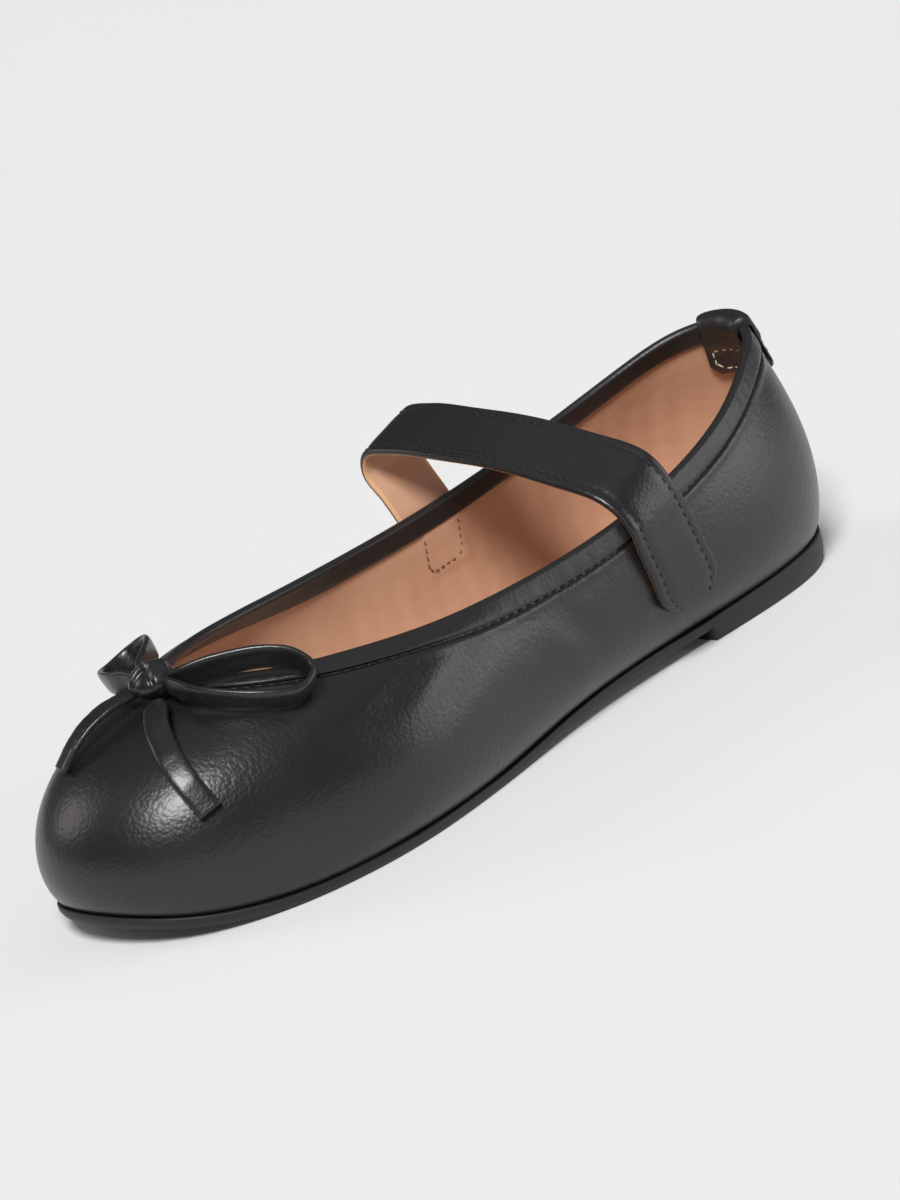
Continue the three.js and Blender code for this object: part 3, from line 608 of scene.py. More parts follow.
def stitches(name, runs, material, pitch, thread, fill=0.7):
    """Sewn threads along runs of points with normals: rounded beads, each a share fill of the pitch"""
    points, faces = [], []
    around = 6
    rounds = (-1, -0.8, 0, 0.8, 1)
    stand = 0.5 * thread
    for line, normals in runs:
        places = even_along(line, pitch, pitch / 2)
        for first in places:
            ends = sample(line, np.array([first]))[0]
            ahead = sample(line, np.array([min(first + 1, len(line) - 1)]))[0]
            behind = sample(line, np.array([max(first - 1, 0)]))[0]
            along = unit(ahead - behind)
            up = sample(normals, np.array([first]))[0]
            up = unit(up - along * np.dot(up, along))
            side = np.cross(along, up)
            base = len(points)
            for share in rounds:
                width = thread * math.sqrt(max(0.05, 1 - share**2 * 0.92))
                drop = -thread * share**2 * 0.9
                for k in range(around):
                    turn = 2 * math.pi * k / around
                    rise = width * math.sin(turn) * 0.9 + drop + stand
                    centre = ends + along * (share * pitch * fill / 2)
                    points.append(centre + side * width * math.cos(turn) + up * rise)
            for i in range(len(rounds) - 1):
                for k in range(around):
                    after = (k + 1) % around
                    here = base + i * around
                    faces.append((here + k, here + after, here + around + after, here + around + k))
            faces.append(tuple(base + k for k in reversed(range(around))))
            faces.append(tuple(base + (len(rounds) - 1) * around + k for k in range(around)))
    return make_object(name, points, faces, [material])


# Materials

class Value:
    """A number in a shader; arithmetic with it makes Math nodes"""

    def __init__(self, shader, socket):
        self.shader = shader
        self.socket = socket

    def math(self, operation, first, second):
        made = self.shader.node("ShaderNodeMath", {"operation": operation}, {0: first, 1: second})
        return Value(self.shader, made.outputs[0])

    def __add__(self, other):
        return self.math("ADD", self, other)

    def __radd__(self, other):
        return self.math("ADD", other, self)

    def __sub__(self, other):
        return self.math("SUBTRACT", self, other)

    def __rsub__(self, other):
        return self.math("SUBTRACT", other, self)

    def __mul__(self, other):
        return self.math("MULTIPLY", self, other)

    def __rmul__(self, other):
        return self.math("MULTIPLY", other, self)


class Shader:
    """A material made of nodes"""

    def __init__(self, name):
        self.material = bpy.data.materials.new(name)
        self.material.use_nodes = True
        self.tree = self.material.node_tree
        self.tree.nodes.clear()
        self.position = self.node("ShaderNodeTexCoord").outputs["Object"]

    def node(self, kind, settings=None, inputs=None):
        made = self.tree.nodes.new(kind)
        for key, value in (settings or {}).items():
            setattr(made, key, value)
        for key, value in (inputs or {}).items():
            self.feed(made.inputs[key], value)
        return made

    def feed(self, socket, value):
        if isinstance(value, Value):
            value = value.socket
        if isinstance(value, bpy.types.NodeSocket):
            self.tree.links.new(value, socket)
        else:
            socket.default_value = value

    def stretched(self, x, y, z):
        inputs = {0: self.position, 1: (x, y, z)}
        return self.node("ShaderNodeVectorMath", {"operation": "MULTIPLY"}, inputs).outputs[0]

    def noise(self, size, detail=2.0, roughness=0.5, vector=None):
        """Noise from 0 to 1 with features of a size in metres"""
        inputs = {"Vector": vector or self.position, "Scale": 1 / size}
        inputs.update({"Detail": detail, "Roughness": roughness})
        return Value(self, self.node("ShaderNodeTexNoise", {}, inputs).outputs["Fac"])

    def cells(self, size, vector):
        """Distance inside cells of a size in metres, as a share of that size"""
        inputs = {"Vector": vector, "Scale": 1 / size}
        return Value(self, self.node("ShaderNodeTexVoronoi", {"feature": "F1"}, inputs).outputs["Distance"])

    def mix(self, share, first, second):
        """A colour between two colours"""
        inputs = {0: share, 6: first, 7: second}
        return self.node("ShaderNodeMix", {"data_type": "RGBA"}, inputs).outputs[2]

    def tones(self, share, finish):
        """The colour of a finish, from its deep tone to its light one"""
        colours = bpy.context.scene.flat.colours
        deep, light = getattr(colours, finish + "_deep"), getattr(colours, finish + "_light")
        return self.mix(share, rgba(deep), rgba(light))

    def bump(self, height):
        """A normal from a height in metres"""
        inputs = {"Strength": 1, "Distance": 1, "Height": height}
        return self.node("ShaderNodeBump", {}, inputs).outputs["Normal"]

    def surface(self, inputs):
        shader = self.node("ShaderNodeBsdfPrincipled", {}, inputs)
        output = self.node("ShaderNodeOutputMaterial")
        self.tree.links.new(shader.outputs[0], output.inputs[0])
        return self.material


def rgba(rgb):
    """An opaque colour for a socket"""
    return (*rgb, 1)


def leather_grain(s, pebble, depth):
    """Height of a pebbled grain: raised cells between soft folds"""
    warp = s.noise(pebble * 4, 2) * pebble
    offset = s.node("ShaderNodeCombineXYZ", {}, {0: warp, 1: warp})
    inputs = {0: s.position, 1: offset.outputs[0]}
    shifted = s.node("ShaderNodeVectorMath", {"operation": "ADD"}, inputs).outputs[0]
    pebbles = s.cells(pebble, shifted)
    folds = s.noise(pebble * 1.6, 3, 0.6)
    return (folds * 1.2 - pebbles) * depth


def upper_leather():
    s = Shader("upper_leather")
    height = leather_grain(s, 1.0 * MM, 0.062 * MM) + s.noise(7 * MM, 2) * 0.06 * MM
    patches = s.noise(22 * MM, 3)
    wear = s.noise(2.2 * MM, 3, 0.6)
    return s.surface({
        "Base Color": s.tones(patches, "leather"),
        "Roughness": 0.35 + (patches - 0.5) * 0.12 + (wear - 0.5) * 0.08,
        "Specular IOR Level": 0.5,
        "Coat Weight": 0.15,
        "Coat Roughness": 0.25,
        "Normal": s.bump(height),
    })


def binding_leather():
    s = Shader("binding_leather")
    height = leather_grain(s, 0.9 * MM, 0.045 * MM) + s.noise(5 * MM, 2) * 0.05 * MM
    patches = s.noise(15 * MM, 3)
    return s.surface({
        "Base Color": s.tones(patches, "binding"),
        "Roughness": 0.4 + (patches - 0.5) * 0.14,
        "Coat Weight": 0.1,
        "Coat Roughness": 0.3,
        "Normal": s.bump(height),
    })


def ribbon_leather():
    s = Shader("ribbon_leather")
    height = leather_grain(s, 0.8 * MM, 0.035 * MM) + s.noise(3 * MM, 2) * 0.08 * MM
    patches = s.noise(9 * MM, 3)
    return s.surface({
        "Base Color": s.tones(patches, "ribbon"),
        "Roughness": 0.33 + (patches - 0.5) * 0.16,
        "Coat Weight": 0.2,
        "Coat Roughness": 0.22,
        "Normal": s.bump(height),
    })


def lining_leather():
    s = Shader("lining_leather")
    fibres = s.noise(0.35 * MM, 3, 0.6)
    clouds = s.noise(18 * MM, 3)
    creases = s.noise(6 * MM, 3, 0.55, s.stretched(1, 0.25, 1))
    height = fibres * 0.03 * MM + creases * 0.24 * MM
    fibre = rgba(bpy.context.scene.flat.colours.lining_fibre)
    return s.surface({
        "Base Color": s.mix(fibres * 0.35, s.tones(clouds, "lining"), fibre),
        "Roughness": 0.5 + (fibres - 0.5) * 0.2,
        "Normal": s.bump(height),
    })


def sock_leather():
    s = Shader("sock_leather")
    fibres = s.noise(0.4 * MM, 3, 0.6)
    clouds = s.noise(25 * MM, 3)
    wrinkles = s.noise(3.5 * MM, 4, 0.6, s.stretched(1, 0.16, 1))
    height = fibres * 0.02 * MM + wrinkles * 0.16 * MM
    fibre = rgba(bpy.context.scene.flat.colours.sock_fibre)
    return s.surface({
        # Partly the sock's own paler tan, partly painted light: its tones are lifted above the lining's as
        # where the insole faces the lamps
        "Base Color": s.mix(fibres * 0.3, s.tones(clouds, "sock"), fibre),
        "Roughness": 0.45 + (wrinkles - 0.5) * 0.2,
        "Normal": s.bump(height),
    })


def moulded_rubber():
    s = Shader("moulded_rubber")
    speckle = s.noise(0.5 * MM, 4, 0.65)
    smears = s.noise(12 * MM, 3)
    return s.surface({
        "Base Color": s.tones(smears, "rubber"),
        "Roughness": 0.55 + (smears - 0.5) * 0.2,
        "Normal": s.bump(speckle * 0.03 * MM),
    })


def raw_edge():
    s = Shader("raw_edge")
    fibres = s.noise(0.3 * MM, 4, 0.7)
    return s.surface({
        "Base Color": s.tones(fibres, "raw_edge"),
        "Roughness": 0.7 + (fibres - 0.5) * 0.2,
        "Normal": s.bump(fibres * 0.08 * MM),
    })


def thread(name):
    s = Shader(name)
    twist = s.noise(0.25 * MM, 2)
    return s.surface({
        "Base Color": s.tones(twist, name),
        "Roughness": 0.5 + (twist - 0.5) * 0.2,
        "Normal": s.bump(twist * 0.05 * MM),
    })


def material(name):
    """A material by name, made when it is first asked for"""
    makers = {
        "upper_leather": upper_leather,
        "binding_leather": binding_leather,
        "ribbon_leather": ribbon_leather,
        "lining_leather": lining_leather,
        "sock_leather": sock_leather,
        "moulded_rubber": moulded_rubber,
        "raw_edge": raw_edge,
    }
    kept = bpy.data.materials.get(name)
    if kept:
        return kept
    return makers[name]() if name in makers else thread(name)


# Upper and lining

def ring_places(count=COLUMNS):
    return np.arange(count) / count


def crease_relief(points, station, below):
    """Soft troughs and ridges where the leather folds in wear"""
    relief = 0 * station
    for crease in CREASES:
        start = np.array([crease.from_station, crease.from_below]) * MM
        end = np.array([crease.to_station, crease.to_below]) * MM
        line = end - start
        size = np.linalg.norm(line)
        share = ((station - start[0]) * line[0] + (below - start[1]) * line[1]) / size**2
        away = ((station - start[0]) * line[1] - (below - start[1]) * line[0]) / size
        fade = hump(share, 0.5, 0.75) * (points[..., 0] * crease.side > 0)
        half = crease.half_width * MM
        trough = -hump(away, 0, half) + 0.6 * hump(away, 1.1 * half, half)
        relief = relief + crease.depth * MM * trough * fade
    return relief


def upper_relief(trim, u, points, station, below):
    """Relief of the outer leather: the seam under the binding and soft creases of wear"""
    seam = trim.binding_width + BINDING_SEAM_DROP
    furrow = -0.3 * MM * hump(below, seam, 0.9 * MM)
    pucker = 0.5 + 0.5 * ripple(u * GIRTH, 2.6 * MM, 1.3)
    ridge = (0.16 + 0.14 * pucker) * MM * hump(below, seam + 1.5 * MM, 1.6 * MM)
    return furrow + ridge + crease_relief(points, station, below)


def lining_relief(trim, points, station, below):
    """Relief of the lining: soft upright folds, and the strap's sewn end showing through"""
    folds = 0.22 * MM * ripple(station, 15 * MM, 2.0) * smooth((below - 6 * MM) / (10 * MM))
    step, end_depth = 1.2 * MM, 18 * MM
    across = smooth((trim.strap_width * 0.42 - np.abs(station - trim.strap_station)) / step)
    down = smooth((end_depth - below) / step) * (points[..., 0] < 0)
    return folds + 0.4 * MM * across * down


def make_upper(flat):
    last, trim = Last(flat.last), flat.trim
    u = ring_places()
    upper_t = last.share_below_top(u, np.array(NEAR_TOP_LINE) * MM)
    easing = np.linspace(1, 0, 37)[1:] ** 1.15
    t = np.concatenate([upper_t, upper_t[:, -1:] * easing], axis=1)
    grid_u = np.broadcast_to(u[:, None], t.shape)
    below = last.distance_below_top(u, t)
    base = last.skin(grid_u, t)
    station = last.station(base[..., 1])
    outer = last.off(grid_u, t, upper_relief(trim, grid_u, base, station, below))
    inner = last.off(grid_u, t, -last.wall_at(t) - lining_relief(trim, base, station, below))
    rows = t.shape[1]
    foot = last.skin(u, 0)
    margin = foot - last.outward(u) * flat.last.lasting_margin
    low = last.sole_top(last.station(margin[:, 1])) + flat.last.clearance
    margin_low, margin_high = margin.copy(), margin.copy()
    margin_low[:, 2] = low
    margin_high[:, 2] = low + flat.last.wall
    sections = np.concatenate([margin_low[:, None], outer[:, ::-1], inner, margin_high[:, None]], axis=1)
    indices = [0] * (rows + 1) + [1] * rows + [0]
    materials = [material("upper_leather"), material("lining_leather")]
    piece = sweep("upper_leather", sections, materials, True, indices)
    finish_piece(piece, "black_leather", "upper")


# Binding and its seam

def make_binding(flat):
    last, trim, sizes = Last(flat.last), flat.trim, flat.last
    u = ring_places(COLUMNS * 2)
    width, lift = trim.binding_width, sizes.clearance + trim.binding_thickness
    half = (sizes.skived_wall + 2 * lift) / 2
    middle = -sizes.skived_wall / 2
    film = 0.05 * MM
    top = last.skin(u, np.ones_like(u))
    normal = last.normal(u, 1)
    climb = last.climb(u, 1)
    puff = 0.06 * MM * ripple(u * GIRTH, 9 * MM, 0.4)

    def over(out, rise):
        return top + normal * out + climb * rise

    outside = [last.leg(u, d * width, h * MM + puff * (d < 0.9), False) for d, h in BINDING_LEG]
    rim = []
    arc = 14
    drop = half - lift
    for k in range(arc + 1):
        turn = math.pi * k / arc
        rim.append(over(middle + half * math.cos(turn), half * math.sin(turn) - drop))
    inside = [last.leg(u, d * width, h * MM, True) for d, h in reversed(BINDING_LEG)]
    hidden_in = [last.leg(u, d, film, True) for d in (width, width / 2)]
    hidden_top = [over(-sizes.skived_wall - film, film), over(film, film)]
    hidden_out = [last.leg(u, d, film, False) for d in (width / 2, width)]
    sections = np.stack(outside + rim + inside + hidden_in + hidden_top + hidden_out, axis=1)
    piece = sweep("topline_binding_leather", sections, [material("binding_leather")], True)
    finish_piece(piece, "black_binding", "topline_binding")


def make_binding_seam(flat):
    last, trim = Last(flat.last), flat.trim
    u = np.linspace(0, 1, 2401)
    t = last.share_below_top(u, np.array([trim.binding_width + BINDING_SEAM_DROP]))[:, 0]
    runs = [(last.off(u, t, 0 * u - 0.2 * MM), last.normal(u, t))]
    seam = stitches("topline_stitches", runs, material("black_thread"), 3 * MM, 0.26 * MM)
    finish_piece(seam, "black_binding")


# Sole and insole

def ladder(name, last, extra_stations, levels, cells, side_point, height_at, materials):
    """A plate whose sections run from side to side on rungs from heel to toe"""
    share = np.linspace(0, 0.5, COLUMNS // 2 + 1)
    rungs = [(u, 1 - u) for u in share]
    extra = [(last.find_on_foot(LATERAL, s), last.find_on_foot(MEDIAL, s)) for s in extra_stations]
    spacing = 0.4 / COLUMNS
    rungs = [r for r in rungs if all(abs(r[0] - e[0]) > spacing for e in extra)]
    rungs = np.array(sorted(rungs + extra))
    outer = [side_point(rungs[:, 0], level) for level in levels]
    inner = [side_point(rungs[:, 1], level) for level in levels]
    points = []
    for cell in range(cells + 1):
        points.append((lerp(outer[0], inner[0], cell / cells), levels[0], cell / cells))
    for k in range(1, len(levels)):
        points.append((inner[k], levels[k], 1.0))
    for cell in range(cells - 1, -1, -1):
        points.append((lerp(outer[-1], inner[-1], cell / cells), levels[-1], cell / cells))
    for k in range(len(levels) - 2, 0, -1):
        points.append((outer[k], levels[k], 0.0))
    rows = []
    for point, level, across in points:
        placed = point.copy()
        placed[:, 2] = height_at(placed, level, across)
        rows.append(placed)
    sections = np.stack(rows, axis=1)
    count, size, _ = sections.shape
    faces = sweep_faces(count, size, False)[:-2]
    piece = make_object(name, sections.reshape(-1, 3), faces, materials)
    weld(piece)
    return piece


def make_outsole(flat):
    last, s = Last(flat.last), flat.last
    shares = [0, 0.01, 0.04, 0.1, 0.18, 0.3, 0.45, 0.6, 0.75, 0.88, 0.95, 0.985, 1]

    def inset_at(share):
        bottom = 0.8 * s.sole_taper * (1 - smooth(share / 0.5)) + 0.35 * MM * max(0, 1 - share / 0.06) ** 2
        return bottom + 0.3 * MM * max(0, (share - 0.88) / 0.12) ** 2

    levels = [Level(inset_at(share), share) for share in shares]

    def side_point(u, level):
        return spline_at(last.foot, u) + last.outward(u) * (s.sole_reach - level.inset)

    def height_at(points, level, across):
        station = last.station(points[:, 1])
        bottom = np.where(station < s.heel_length, 0, last.sole_bottom(station))
        return lerp(bottom, last.sole_top(station), level.share)

    breast = [s.heel_length - s.heel_breast / 2, s.heel_length + s.heel_breast / 2]
    rubber = [material("moulded_rubber")]
    piece = ladder("outsole_rubber", last, breast, levels, 24, side_point, height_at, rubber)
    finish_piece(piece, "sole_rubber", "outsole")


def make_insole(flat):
    last, s = Last(flat.last), flat.last
    floor_lift = s.wall + 2 * s.clearance
    levels = [Level(0, 0), Level(0, 0.4), Level(0.05 * MM, 0.7), Level(0.25 * MM, 0.9), Level(0.7 * MM, 1)]
    steps = np.linspace(0, 0.5, 121)

    def side_point(u, level):
        lift = floor_lift + level.share * s.insole_thickness
        height = spline_at(last.foot, u)[:, 2] - s.clearance + lift
        walls = last.off(u[:, None], steps[None, :], np.full((1, 1), -s.wall))[..., 2]
        t = np.array([np.interp(h, row, steps) for h, row in zip(height, walls)])
        return last.off(u, t, 0 * u - s.wall - 0.3 * MM - level.inset)

    def height_at(points, level, across):
        station = last.station(points[:, 1])
        lift = floor_lift + level.share * s.insole_thickness
        middle = 1 - (2 * across - 1) ** 2 if level.share == 1 else 0
        wave = 0.18 * MM * ripple(points[:, 0] + points[:, 1] * 0.16, 6 * MM, 1.0)
        return last.sole_top(station) + lift + (wave + 0.2 * MM) * min(1, 3 * middle)

    leather = [material("sock_leather")]
    piece = ladder("insole_sock", last, [], levels, 48, side_point, height_at, leather)
    finish_piece(piece, "tan_sock", "insole")


# Strap

def strap_lines(last, trim):
    """Inner face of the strap: its front edge, middle and rear edge"""
    s = last.s
    lines = []
    for place in (-1, 0, 1):
        points = []
        for fold in STRAP_FOLDS:
            width = trim.strap_width * fold.wide
            station = trim.strap_station - fold.drift * trim.strap_slant - place * width / 2
            height = s.side_height * lerp(fold.front, fold.rear, (place + 1) / 2)
            if fold.side is None:
                points.append(np.array([fold.across * s.collar_width / 2, last.y(station), height]))
                continue
            u, t = last.find_on_skin(fold.side, station, height)
            lift = STRAP_CLEARANCES * s.clearance + fold.over * (s.clearance + trim.binding_thickness)
            points.append(last.off(u, t, lift))
        lines.append(centripetal(np.array(points), 12))
    return lines


def strap_frame(last, trim):
    front, middle, rear = strap_lines(last, trim)
    along = unit(np.gradient(middle, axis=0))
    across = unit(rear - front)
    return front, middle, rear, unit(np.cross(along, across))


def strap_face(lines, w, lift):
    """Points of the strap at place w across it, from -1 in front to 1 behind, off its inner face"""
    front, middle, rear, out = lines
    bow = front * (w * (w - 1) / 2) + middle * (1 - w * w) + rear * (w * (w + 1) / 2)
    return bow + out * lift


def make_strap(flat):
    last, trim = Last(flat.last), flat.trim
    lines = strap_frame(last, trim)
    thick, half = trim.strap_thickness, trim.strap_width / 2
    radius = thick / 2
    turns = np.linspace(0, math.pi / 2, 7)
    edge = [(radius * (1 - math.cos(a)), radius * math.sin(a)) for a in turns]
    flat_places = np.linspace(radius, 2 * half - radius, 33)[1:-1]
    edge_margin = 1.0 * MM

    def relief(inset):
        """A padded face between the furrows of the two seams"""
        from_edge = min(inset, 2 * half - inset)
        padding = 0.16 * MM * smooth((from_edge - STRAP_SEAM_INSET) / (2.5 * MM))
        return padding - 0.14 * MM * float(hump(from_edge, STRAP_SEAM_INSET, 0.8 * MM))

    outer = [(e, radius + r) for e, r in edge]
    outer += [(p, thick + relief(p)) for p in flat_places]
    outer += [(2 * half - e, radius + r) for e, r in reversed(edge)]
    inner = [(2 * half - e, radius - r) for e, r in edge[1:]]
    inner += [(p, 0.0) for p in reversed(flat_places)]
    inner += [(e, radius - r) for e, r in list(reversed(edge))[:-1]]
    rows = [strap_face(lines, inset / half - 1, lift) for inset, lift in outer + inner]
    sections = np.stack(rows, axis=1)
    indices = []
    for inset, lift in outer + inner:
        low = lift < radius * 0.7
        under = low and edge_margin < inset < 2 * half - edge_margin
        indices.append(1 if under else 2 if low else 0)
    materials = [material("upper_leather"), material("lining_leather"), material("raw_edge")]
    piece = sweep("instep_strap_leather", sections, materials, False, indices)
    finish_piece(piece, "black_leather", "instep_strap")


def make_strap_seams(flat):
    last, trim = Last(flat.last), flat.trim
    lines = strap_frame(last, trim)
    inset = STRAP_SEAM_INSET / (trim.strap_width / 2)
    lift = trim.strap_thickness - 0.1 * MM
    runs = [(strap_face(lines, w, lift), lines[3]) for w in (inset - 1, 1 - inset)]
    seam = stitches("strap_stitches", runs, material("black_thread"), 2.6 * MM, 0.24 * MM)
    finish_piece(seam, "black_leather")


def seam_on_wall(last, start, corners, lift, inside):
    """Runs of a seam between corners: place along the top line from a start, and distance below it"""
    shares = np.linspace(0, 1, 12)
    runs = []
    for (along, below), (next_along, next_below) in zip(corners, corners[1:]):
        u = last.top_place(start, lerp(along, next_along, shares))
        t = np.diagonal(last.share_below_top(u, lerp(below, next_below, shares)))
        out = -last.wall_at(t) - lift if inside else lift + 0 * t
        runs.append((last.off(u, t, out), last.normal(u, t) * (-1 if inside else 1)))
    return runs


def make_strap_end_stitches(flat):
    """Stitches in the lining, in a U where the strap's end is sewn to the wall"""
    last, trim = Last(flat.last), flat.trim
    start, _ = last.find_on_skin(MEDIAL, trim.strap_station, flat.last.side_height)
    half, low, high = trim.strap_width * 0.34, 15.5 * MM, 6.2 * MM
    corner = 1.5 * MM
    corners = [(-half, high), (-half, low - corner), (corner - half, low)]
    corners += [(half - corner, low), (half, low - corner), (half, high)]
    runs = seam_on_wall(last, start, corners, 0.45 * MM, True)
    seam = stitches("strap_end_stitches", runs, material("tan_thread"), 2 * MM, 0.22 * MM)
    finish_piece(seam, "tan_sock")


# Heel tab

def tab_section(last, trim, place):
    """Points around the folded tab at a place along the top line"""
    s = last.s
    u = np.array([float(last.top_place(0, place))])
    facet = FACET_CLEARANCES * s.clearance
    low_lift = facet + trim.tab_thickness
    high_lift = s.clearance + trim.binding_thickness + facet + trim.tab_thickness
    from_middle = abs(place) / (trim.tab_width / 2)
    corner = 2.6 * MM * max(0, from_middle - 0.72) / 0.28
    pillow = 1 - 0.25 * from_middle**8
    reach = trim.tab_drop - corner

    def lift_at(share):
        return lerp(high_lift, low_lift, smooth((share * trim.tab_drop - trim.binding_width) / (3 * MM)))

    def face(inside):
        return [last.leg(u, reach * a, lift_at(a) * b * pillow, inside)[0] for a, b in TAB_LEG]

    def back(inside):
        lifts = [(a, 0.2 * MM + (lift_at(a) - trim.tab_thickness) * 0.8) for a in (0.99, 0.5, 0.1)]
        return [last.leg(u, reach * a, lift, inside)[0] for a, lift in lifts]

    top = last.skin(u, np.ones(1))[0]
    normal, climb = last.normal(u, np.ones(1))[0], last.climb(u, np.ones(1))[0]
    half = s.skived_wall / 2 + high_lift * pillow
    steps = 12
    arc = []
    for k in range(steps + 1):
        turn = math.pi * k / steps
        out = -s.skived_wall / 2 + half * math.cos(turn)
        arc.append(top + normal * out + climb * high_lift * pillow * math.sin(turn))
    return np.array(face(False) + arc + face(True)[::-1] + back(True) + back(False)[::-1])


def make_heel_tab(flat):
    last, trim = Last(flat.last), flat.trim
    places = np.linspace(-1, 1, 41) * trim.tab_width / 2
    sections = np.array([tab_section(last, trim, place) for place in places])
    piece = sweep("heel_tab_leather", sections, [material("binding_leather")])
    finish_piece(piece, "black_binding", "heel_tab")


def make_heel_tab_stitches(flat):
    last, trim = Last(flat.last), flat.trim
    lift = FACET_CLEARANCES * flat.last.clearance + trim.tab_thickness
    margin = 2 * MM
    half = trim.tab_width / 2 - margin
    low, high = trim.tab_drop - margin, trim.binding_width + 2.2 * MM
    corner = 2 * MM
    corners = [(-half, high), (-half, low - corner), (-half + corner, low)]
    corners += [(half - corner, low), (half, low - corner), (half, high), (-half, high)]
    runs = []
    for inside in (False, True):
        runs += seam_on_wall(last, 0, corners, lift, inside)
    seam = stitches("heel_tab_stitches", runs, material("pale_thread"), 2.4 * MM, 0.28 * MM, 0.75)
    finish_piece(seam, "black_binding")


# Bow

def bow_frames(last, along, below):
    """Points and normals of the vamp by the bow: along the top line and below it"""
    u = last.top_place(0.5, -np.asarray(along))
    t = np.diagonal(last.share_below_top(u, np.asarray(below)))
    return last.skin(u, t), last.normal(u, t), last.climb(u, t)


def ribbon(name, flat, path, standing, pinch_end):
    """A ribbon of soft leather along a path of rows: along, below and lift in metres

    It is pinched where it starts, and by a share pinch_end where it ends.
    """
    last, trim = Last(flat.last), flat.trim
    points, normals, _ = bow_frames(last, path[:, 0], path[:, 1])
    points = points + normals * path[:, 2:]
    line = centripetal(points, 14)
    offs = centripetal(normals, 14)
    along = unit(np.gradient(line, axis=0))
    offs = unit(offs - along * np.sum(offs * along, axis=1, keepdims=True))
    across = np.cross(along, offs)
    wide, thin = (offs, across) if standing else (across, offs)
    share = np.linspace(0, 1, len(line))
    pinched = 0.2
    pinch = smooth(1 - share / pinched) + pinch_end * smooth(1 - (1 - share) / pinched)
    narrow = 1 - 0.35 * pinch
    thicker = 1 + 0.25 * (1 - narrow)
    rows = []
    around = 24
    for k in range(around):
        turn = 2 * math.pi * (k + 0.5) / around
        c, s = math.cos(turn), math.sin(turn)
        a = math.copysign(abs(c) ** 0.55, c) * trim.ribbon_width / 2
        b = math.copysign(abs(s) ** 0.7, s) * trim.ribbon_thickness / 2
        wave = 0.06 * MM * ripple(share, 0.2, k * 0.1)
        rows.append(line + wide * (a * narrow)[:, None] + thin * (b * thicker + wave)[:, None])
    return sweep(name, np.stack(rows, axis=1), [material("ribbon_leather")])


def make_loop(flat, name, node, side, size, opening):
    """A loop of ribbon on its edge, with both its ends tucked into the knot"""
    trim = flat.trim
    start = trim.knot_width / 2 + flat.last.clearance
    rows = [
        (side * lerp(start, size, f.along), trim.bow_place + f.below * opening, f.lift * trim.ribbon_width)
        for f in LOOP_FOLDS
    ]
    tuck = side * 2 * MM
    first = (rows[0][0] - tuck, lerp(rows[0][1], trim.bow_place, 0.5), rows[0][2])
    last_row = (rows[-1][0] - tuck, lerp(rows[-1][1], trim.bow_place, 0.5), rows[-1][2])
    path = np.array([first, *rows, last_row])
    finish_piece(ribbon(name, flat, path, True, 1), "black_ribbon", node)


def make_tail(flat, name, node, start, end, arch):
    """A tail from under the knot, arched off the vamp and down to it at its end"""
    trim, count = flat.trim, 4
    shares = np.arange(count + 1) / count
    lift = trim.ribbon_thickness / 2 + 2 * flat.last.clearance + arch * np.sin(np.pi * (0.25 + 0.75 * shares))
    path = np.stack([lerp(start[0], end[0], shares), lerp(start[1], end[1], shares), lift], axis=1)
    tuck = (path[1] - path[0]) * 0.35
    path = np.concatenate([[path[0] - tuck], path])
    finish_piece(ribbon(name, flat, path, False, 0), "black_ribbon", node)


def make_bow(flat):
    trim = flat.trim
    outer, inner = trim.outer_loop_length, trim.inner_loop_length
    make_loop(flat, "bow_loop_outer_ribbon", "bow_loop_outer", LATERAL, outer, trim.outer_loop_opening)
    make_loop(flat, "bow_loop_inner_ribbon", "bow_loop_inner", MEDIAL, inner, trim.inner_loop_opening)
    knot_edge = trim.bow_place + trim.knot_length / 2
    start = (trim.outer_tail_root, knot_edge + trim.outer_tail_gap)
    end = (trim.outer_tail_reach, trim.bow_place + trim.outer_tail_length)
    make_tail(flat, "bow_tail_outer_ribbon", "bow_tail_outer", start, end, trim.outer_tail_arch)
    start = (-trim.inner_tail_root, knot_edge)
    end = (-trim.inner_tail_reach, trim.bow_place + trim.inner_tail_length)
    make_tail(flat, "bow_tail_inner_ribbon", "bow_tail_inner", start, end, trim.inner_tail_arch)


def knot_fold(x, y):
    """Relief of the knot as a share of its size: an upright wrap, a slanting fold, and creases beside them"""
    wrap_place = x * 0.97 - y * 0.2
    fold_place = x * 0.5 + y * 0.87
    wrap = 0.14 * smooth((0.34 - abs(wrap_place + 0.36)) / 0.1)
    fold = 0.07 * smooth((0.42 - abs(fold_place - 0.4)) / 0.1)
    crease = 0.1 * hump(wrap_place, 0.02, 0.14) + 0.07 * hump(fold_place, -0.12, 0.12)
    return max(wrap, fold) - crease


